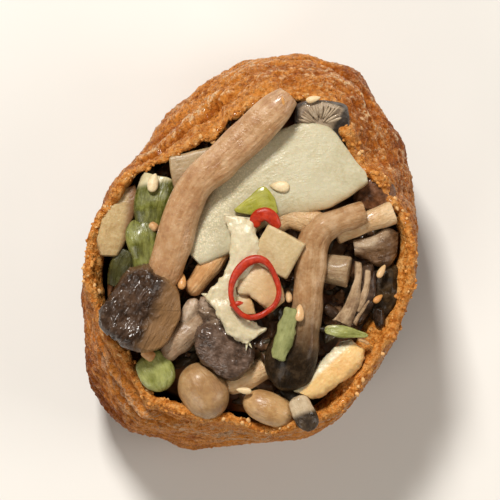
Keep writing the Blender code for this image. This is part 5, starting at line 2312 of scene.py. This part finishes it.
def slices() -> list[Slice]:
    """The cut pieces of bamboo shoot and leek, lowest first.

    Returns:
        The pieces.
    """
    bamboo, leek = Slot.BAMBOO, Slot.LEEK
    low_leek = spine((-21.8, -1.2, 32, 4.4, 2.8), (-23.4, -4.4, 31.8, 4.6, 2.8), (-24, -7.5, 31.2, 4.2, 2.8))
    side = sides(
        (-24.6, 9.4, -20.8, 11, 33.2, 2.6), (-26.2, 7.1, -20.4, 7.4, 33.3, 3),
        (-27.4, 3.7, -21.8, 3.1, 33, 3), (-27.9, 0.5, -22.7, 0.1, 32.8, 3),
        (-27.2, -2, -24, -2.1, 32.4, 2.6),
    )
    wedge = sides(
        (18.4, -17.4, 20.6, -19.2, 32.8, 3.6), (16.2, -18, 20.6, -21.3, 33, 4.6),
        (13.8, -20.1, 18.8, -23.5, 33.2, 4.8), (11.5, -22.5, 16.1, -25.4, 33.2, 4.8),
        (9.4, -24.9, 13.4, -27.3, 32.8, 4.4), (7.9, -26.5, 11.3, -28.2, 32.6, 3.8),
    )
    front_leek = spine(
        (-18.9, -20, 33, 5.4, 2.6), (-16.9, -23.4, 33.2, 6.6, 2.8), (-15.8, -26.6, 32.8, 4.6, 2.6)
    )
    corner = spine((-14.4, 13, 34.8, 5.8, 3.4), (-6.4, 14.2, 34.6, 7, 3.6))
    back_leek = spine((-16.4, 12.1, 34.2, 6, 4.2), (-17.6, 8, 34.8, 6.6, 4.6), (-18, 3.4, 34.2, 5.4, 3.6))
    middle_leek = spine((-20.6, 4.4, 34.6, 4.4, 2.8), (-19.6, 0.8, 35, 5.6, 3.6), (-19, -4, 34.4, 4.2, 3))
    slab = sides(
        (20.9, 12.9, 21.4, 11, 36, 2.4), (19.1, 15, 20.2, 10, 36.2, 3), (17, 17.9, 17, 7.8, 36.4, 3.2),
        (13.8, 21.4, 14, 6.3, 36.6, 3.4), (8.5, 21.7, 9.5, 5.3, 36.8, 3.5), (1, 18, 5.5, 4.6, 36.7, 3.5),
        (-4.8, 12.2, 1.5, 2.2, 36.4, 3.4), (-9, 6, -3.4, -1.6, 36.1, 3.2), (-11.3, 0.8, -7.2, -3.4, 36, 2.9),
        (-11.6, -1.2, -9, -4, 35.8, 2.4),
    )
    leaf = sides(
        (-3, 5.9, -2.6, 5.4, 39.2, 0.7), (-0.4, 8, 0.3, 4.9, 39.4, 1.1), (2.3, 10.1, 3.4, 4.9, 39.6, 1.2),
        (4.5, 8, 5.1, 5.2, 39.6, 1),
    )
    square = spine((6.7, 1.5, 39.6, 7.8, 2.8), (3.2, -4.8, 38.6, 7.8, 2.8))
    tip = sides(
        (-4.6, 5, 0.3, 4.4, 39.3, 1.6), (-4.3, 3.2, 1, 2.4, 39.4, 2.4), (-3.6, 0, 1.5, -1.2, 39.3, 2.8),
        (-3.7, -3.6, 0.6, -4.6, 39, 2.8), (-5.2, -6.4, -1.6, -7.2, 38.8, 2.8),
        (-8, -9.3, -2.6, -9.6, 38.7, 2.6), (-6.4, -12.3, -2.3, -11.6, 38.8, 2.6),
        (-4.6, -15.4, -0.9, -13.4, 38.8, 2.2), (-2.6, -17.8, 1.4, -14.6, 38.6, 1.8),
        (-0.7, -18.4, 2.9, -15.6, 38.4, 1.2),
    )
    heart = sides(
        (-2.9, -7.4, -1.4, -4.6, 38.3, 2), (-2, -9.2, 1.6, -3.6, 38.7, 2.3), (0, -9.8, 4.4, -5.2, 38.7, 2.4),
        (2.4, -11.6, 5.8, -8.2, 38.5, 2.2), (3.8, -12.6, 6.3, -10.6, 38.1, 1.6),
    )
    lobe = sides(
        (-3, -8.8, 0, -9.6, 37.6, 1.8), (-2.6, -11.2, 0.6, -11, 37.8, 2), (-1.4, -13.2, 1, -12.9, 37.6, 1.6)
    )
    strip = spine((7.6, -12, 39.2, 2.6, 1.5), (6.3, -16.7, 39.2, 3.4, 1.7), (5, -21.2, 38.8, 2.6, 1.5))
    thin = spine((13.4, -15.6, 36.2, 1.4, 0.8), (16.6, -16, 36.6, 2.3, 1), (21.4, -16.7, 36, 0.8, 0.6))
    return [
        Slice("low_leek", "leek_low", Morsel(low_leek, boxy=3.2), SHEEN_LEEK, leek, light=0.3),
        # Its tan side is partly painted shade of that face, and partly its own tan.
        Slice(
            "side_bamboo", "bamboo_side", Ribbon(side, boxy=4), SIDE_BAMBOO, bamboo,
            tan=(-0.8, 1.0, -0.1, 0.5),
        ),
        Slice(
            "wedge_of_bamboo", "bamboo_wedge", Ribbon(wedge, boxy=2.8), PEACH_BAMBOO, bamboo, ragged=0.5,
            tan=(0.0, -1.0, 0.3, 0.55), frost=(0.0, -1.0, 0.5, 0.7),
        ),
        Slice(
            "front_leek", "leek_front", Morsel(front_leek, boxy=2.6, start=1.2, end=2), LEEK, leek,
            light=0.6, groove=0.12,
        ),
        Slice(
            "corner_bamboo", "bamboo_corner", Morsel(corner, boxy=6), TAN_BAMBOO, bamboo,
            tan=(0.0, -0.9, -0.4, 1.2),
        ),
        Slice(
            "back_leek", "leek_back", Morsel(back_leek, boxy=3.4), DARK_LEEK, leek, lumps=0.4, light=0.5,
            pale=(-1.0, -0.2, -0.22, -0.1),
        ),
        Slice(
            "middle_leek", "leek_middle", Morsel(middle_leek, boxy=2.8, start=1.8), DARK_LEEK, leek,
            lumps=0.5, light=0.85,
        ),
        Slice(
            "slice_of_bamboo", "bamboo_slice", Ribbon(slab, boxy=6, sides=120, rows=120), BAMBOO, bamboo,
            bow=0.3, tan=(-0.2, 1.1, 0.6, 1.3), frost=(1.2, -0.5, 0.6, 1.2),
        ),
        Slice(
            "leaf_of_leek", "leek_leaf", Ribbon(leaf, boxy=4, sides=60, rows=40), LEAF_LEEK, leek,
            lumps=0.02, light=0.6,
        ),
        Slice(
            "square_of_bamboo", "bamboo_square", Morsel(square, boxy=6), SQUARE_BAMBOO, bamboo,
            tan=(0.3, 0.5, 0.3, 1.3),
        ),
        Slice(
            "lobe_in_ring", "", Ribbon(lobe, boxy=3, sides=60, rows=40), CREAM_BAMBOO, bamboo, ragged=0.3,
            tan=(0.5, 0.4, -0.4, 0.6),
        ),
        Slice(
            "heart_in_ring", "", Ribbon(heart, sides=60, rows=50), CREAM_BAMBOO, bamboo, ragged=0.3,
            tan=(0.9, 0.2, -0.6, 0.9),
        ),
        Slice(
            "tip_of_bamboo", "bamboo_tip", Ribbon(tip, boxy=3), CREAM_BAMBOO, bamboo, lumps=0.3, ragged=0.8
        ),
        Slice("strip_of_leek", "leek_strip", Morsel(strip, boxy=3), DULL_LEEK, leek, light=0.4, ragged=0.5),
        Slice(
            "thin_leek", "", Morsel(thin, boxy=3, start=0.6, end=0.6), LEEK, leek, light=0.7,
            pale=(-1.0, 0.6, 0.1, 0.6),
        ),
    ]


def main() -> None:
    """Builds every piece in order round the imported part."""
    logging.basicConfig(level=logging.INFO, format="%(name)s: %(message)s")
    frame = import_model()
    LOG.info("packed part: %d nodes", len(frame["nodes"]))
    Studio().build()
    Effects().build()
    bench = Bench()
    lumps = Unevenness(4)
    sprouts = SproutTree()
    pouch = TofuPouch()
    pouch.build(bench, lumps, sprouts)
    MixtureCore().build(bench, pouch, lumps, sprouts)
    for stalk in stalks():
        stalk.build(bench, lumps)
    for cut in slices():
        cut.build(bench, lumps)
    TornCap().build(bench, lumps)
    OpenCap().build(bench, lumps, sprouts)
    LongMushroom().build(bench, lumps)
    ChilliRing().build(bench, lumps)
    Sprinkles().build(bench, sprouts)


if __name__ == "__main__":
    main()
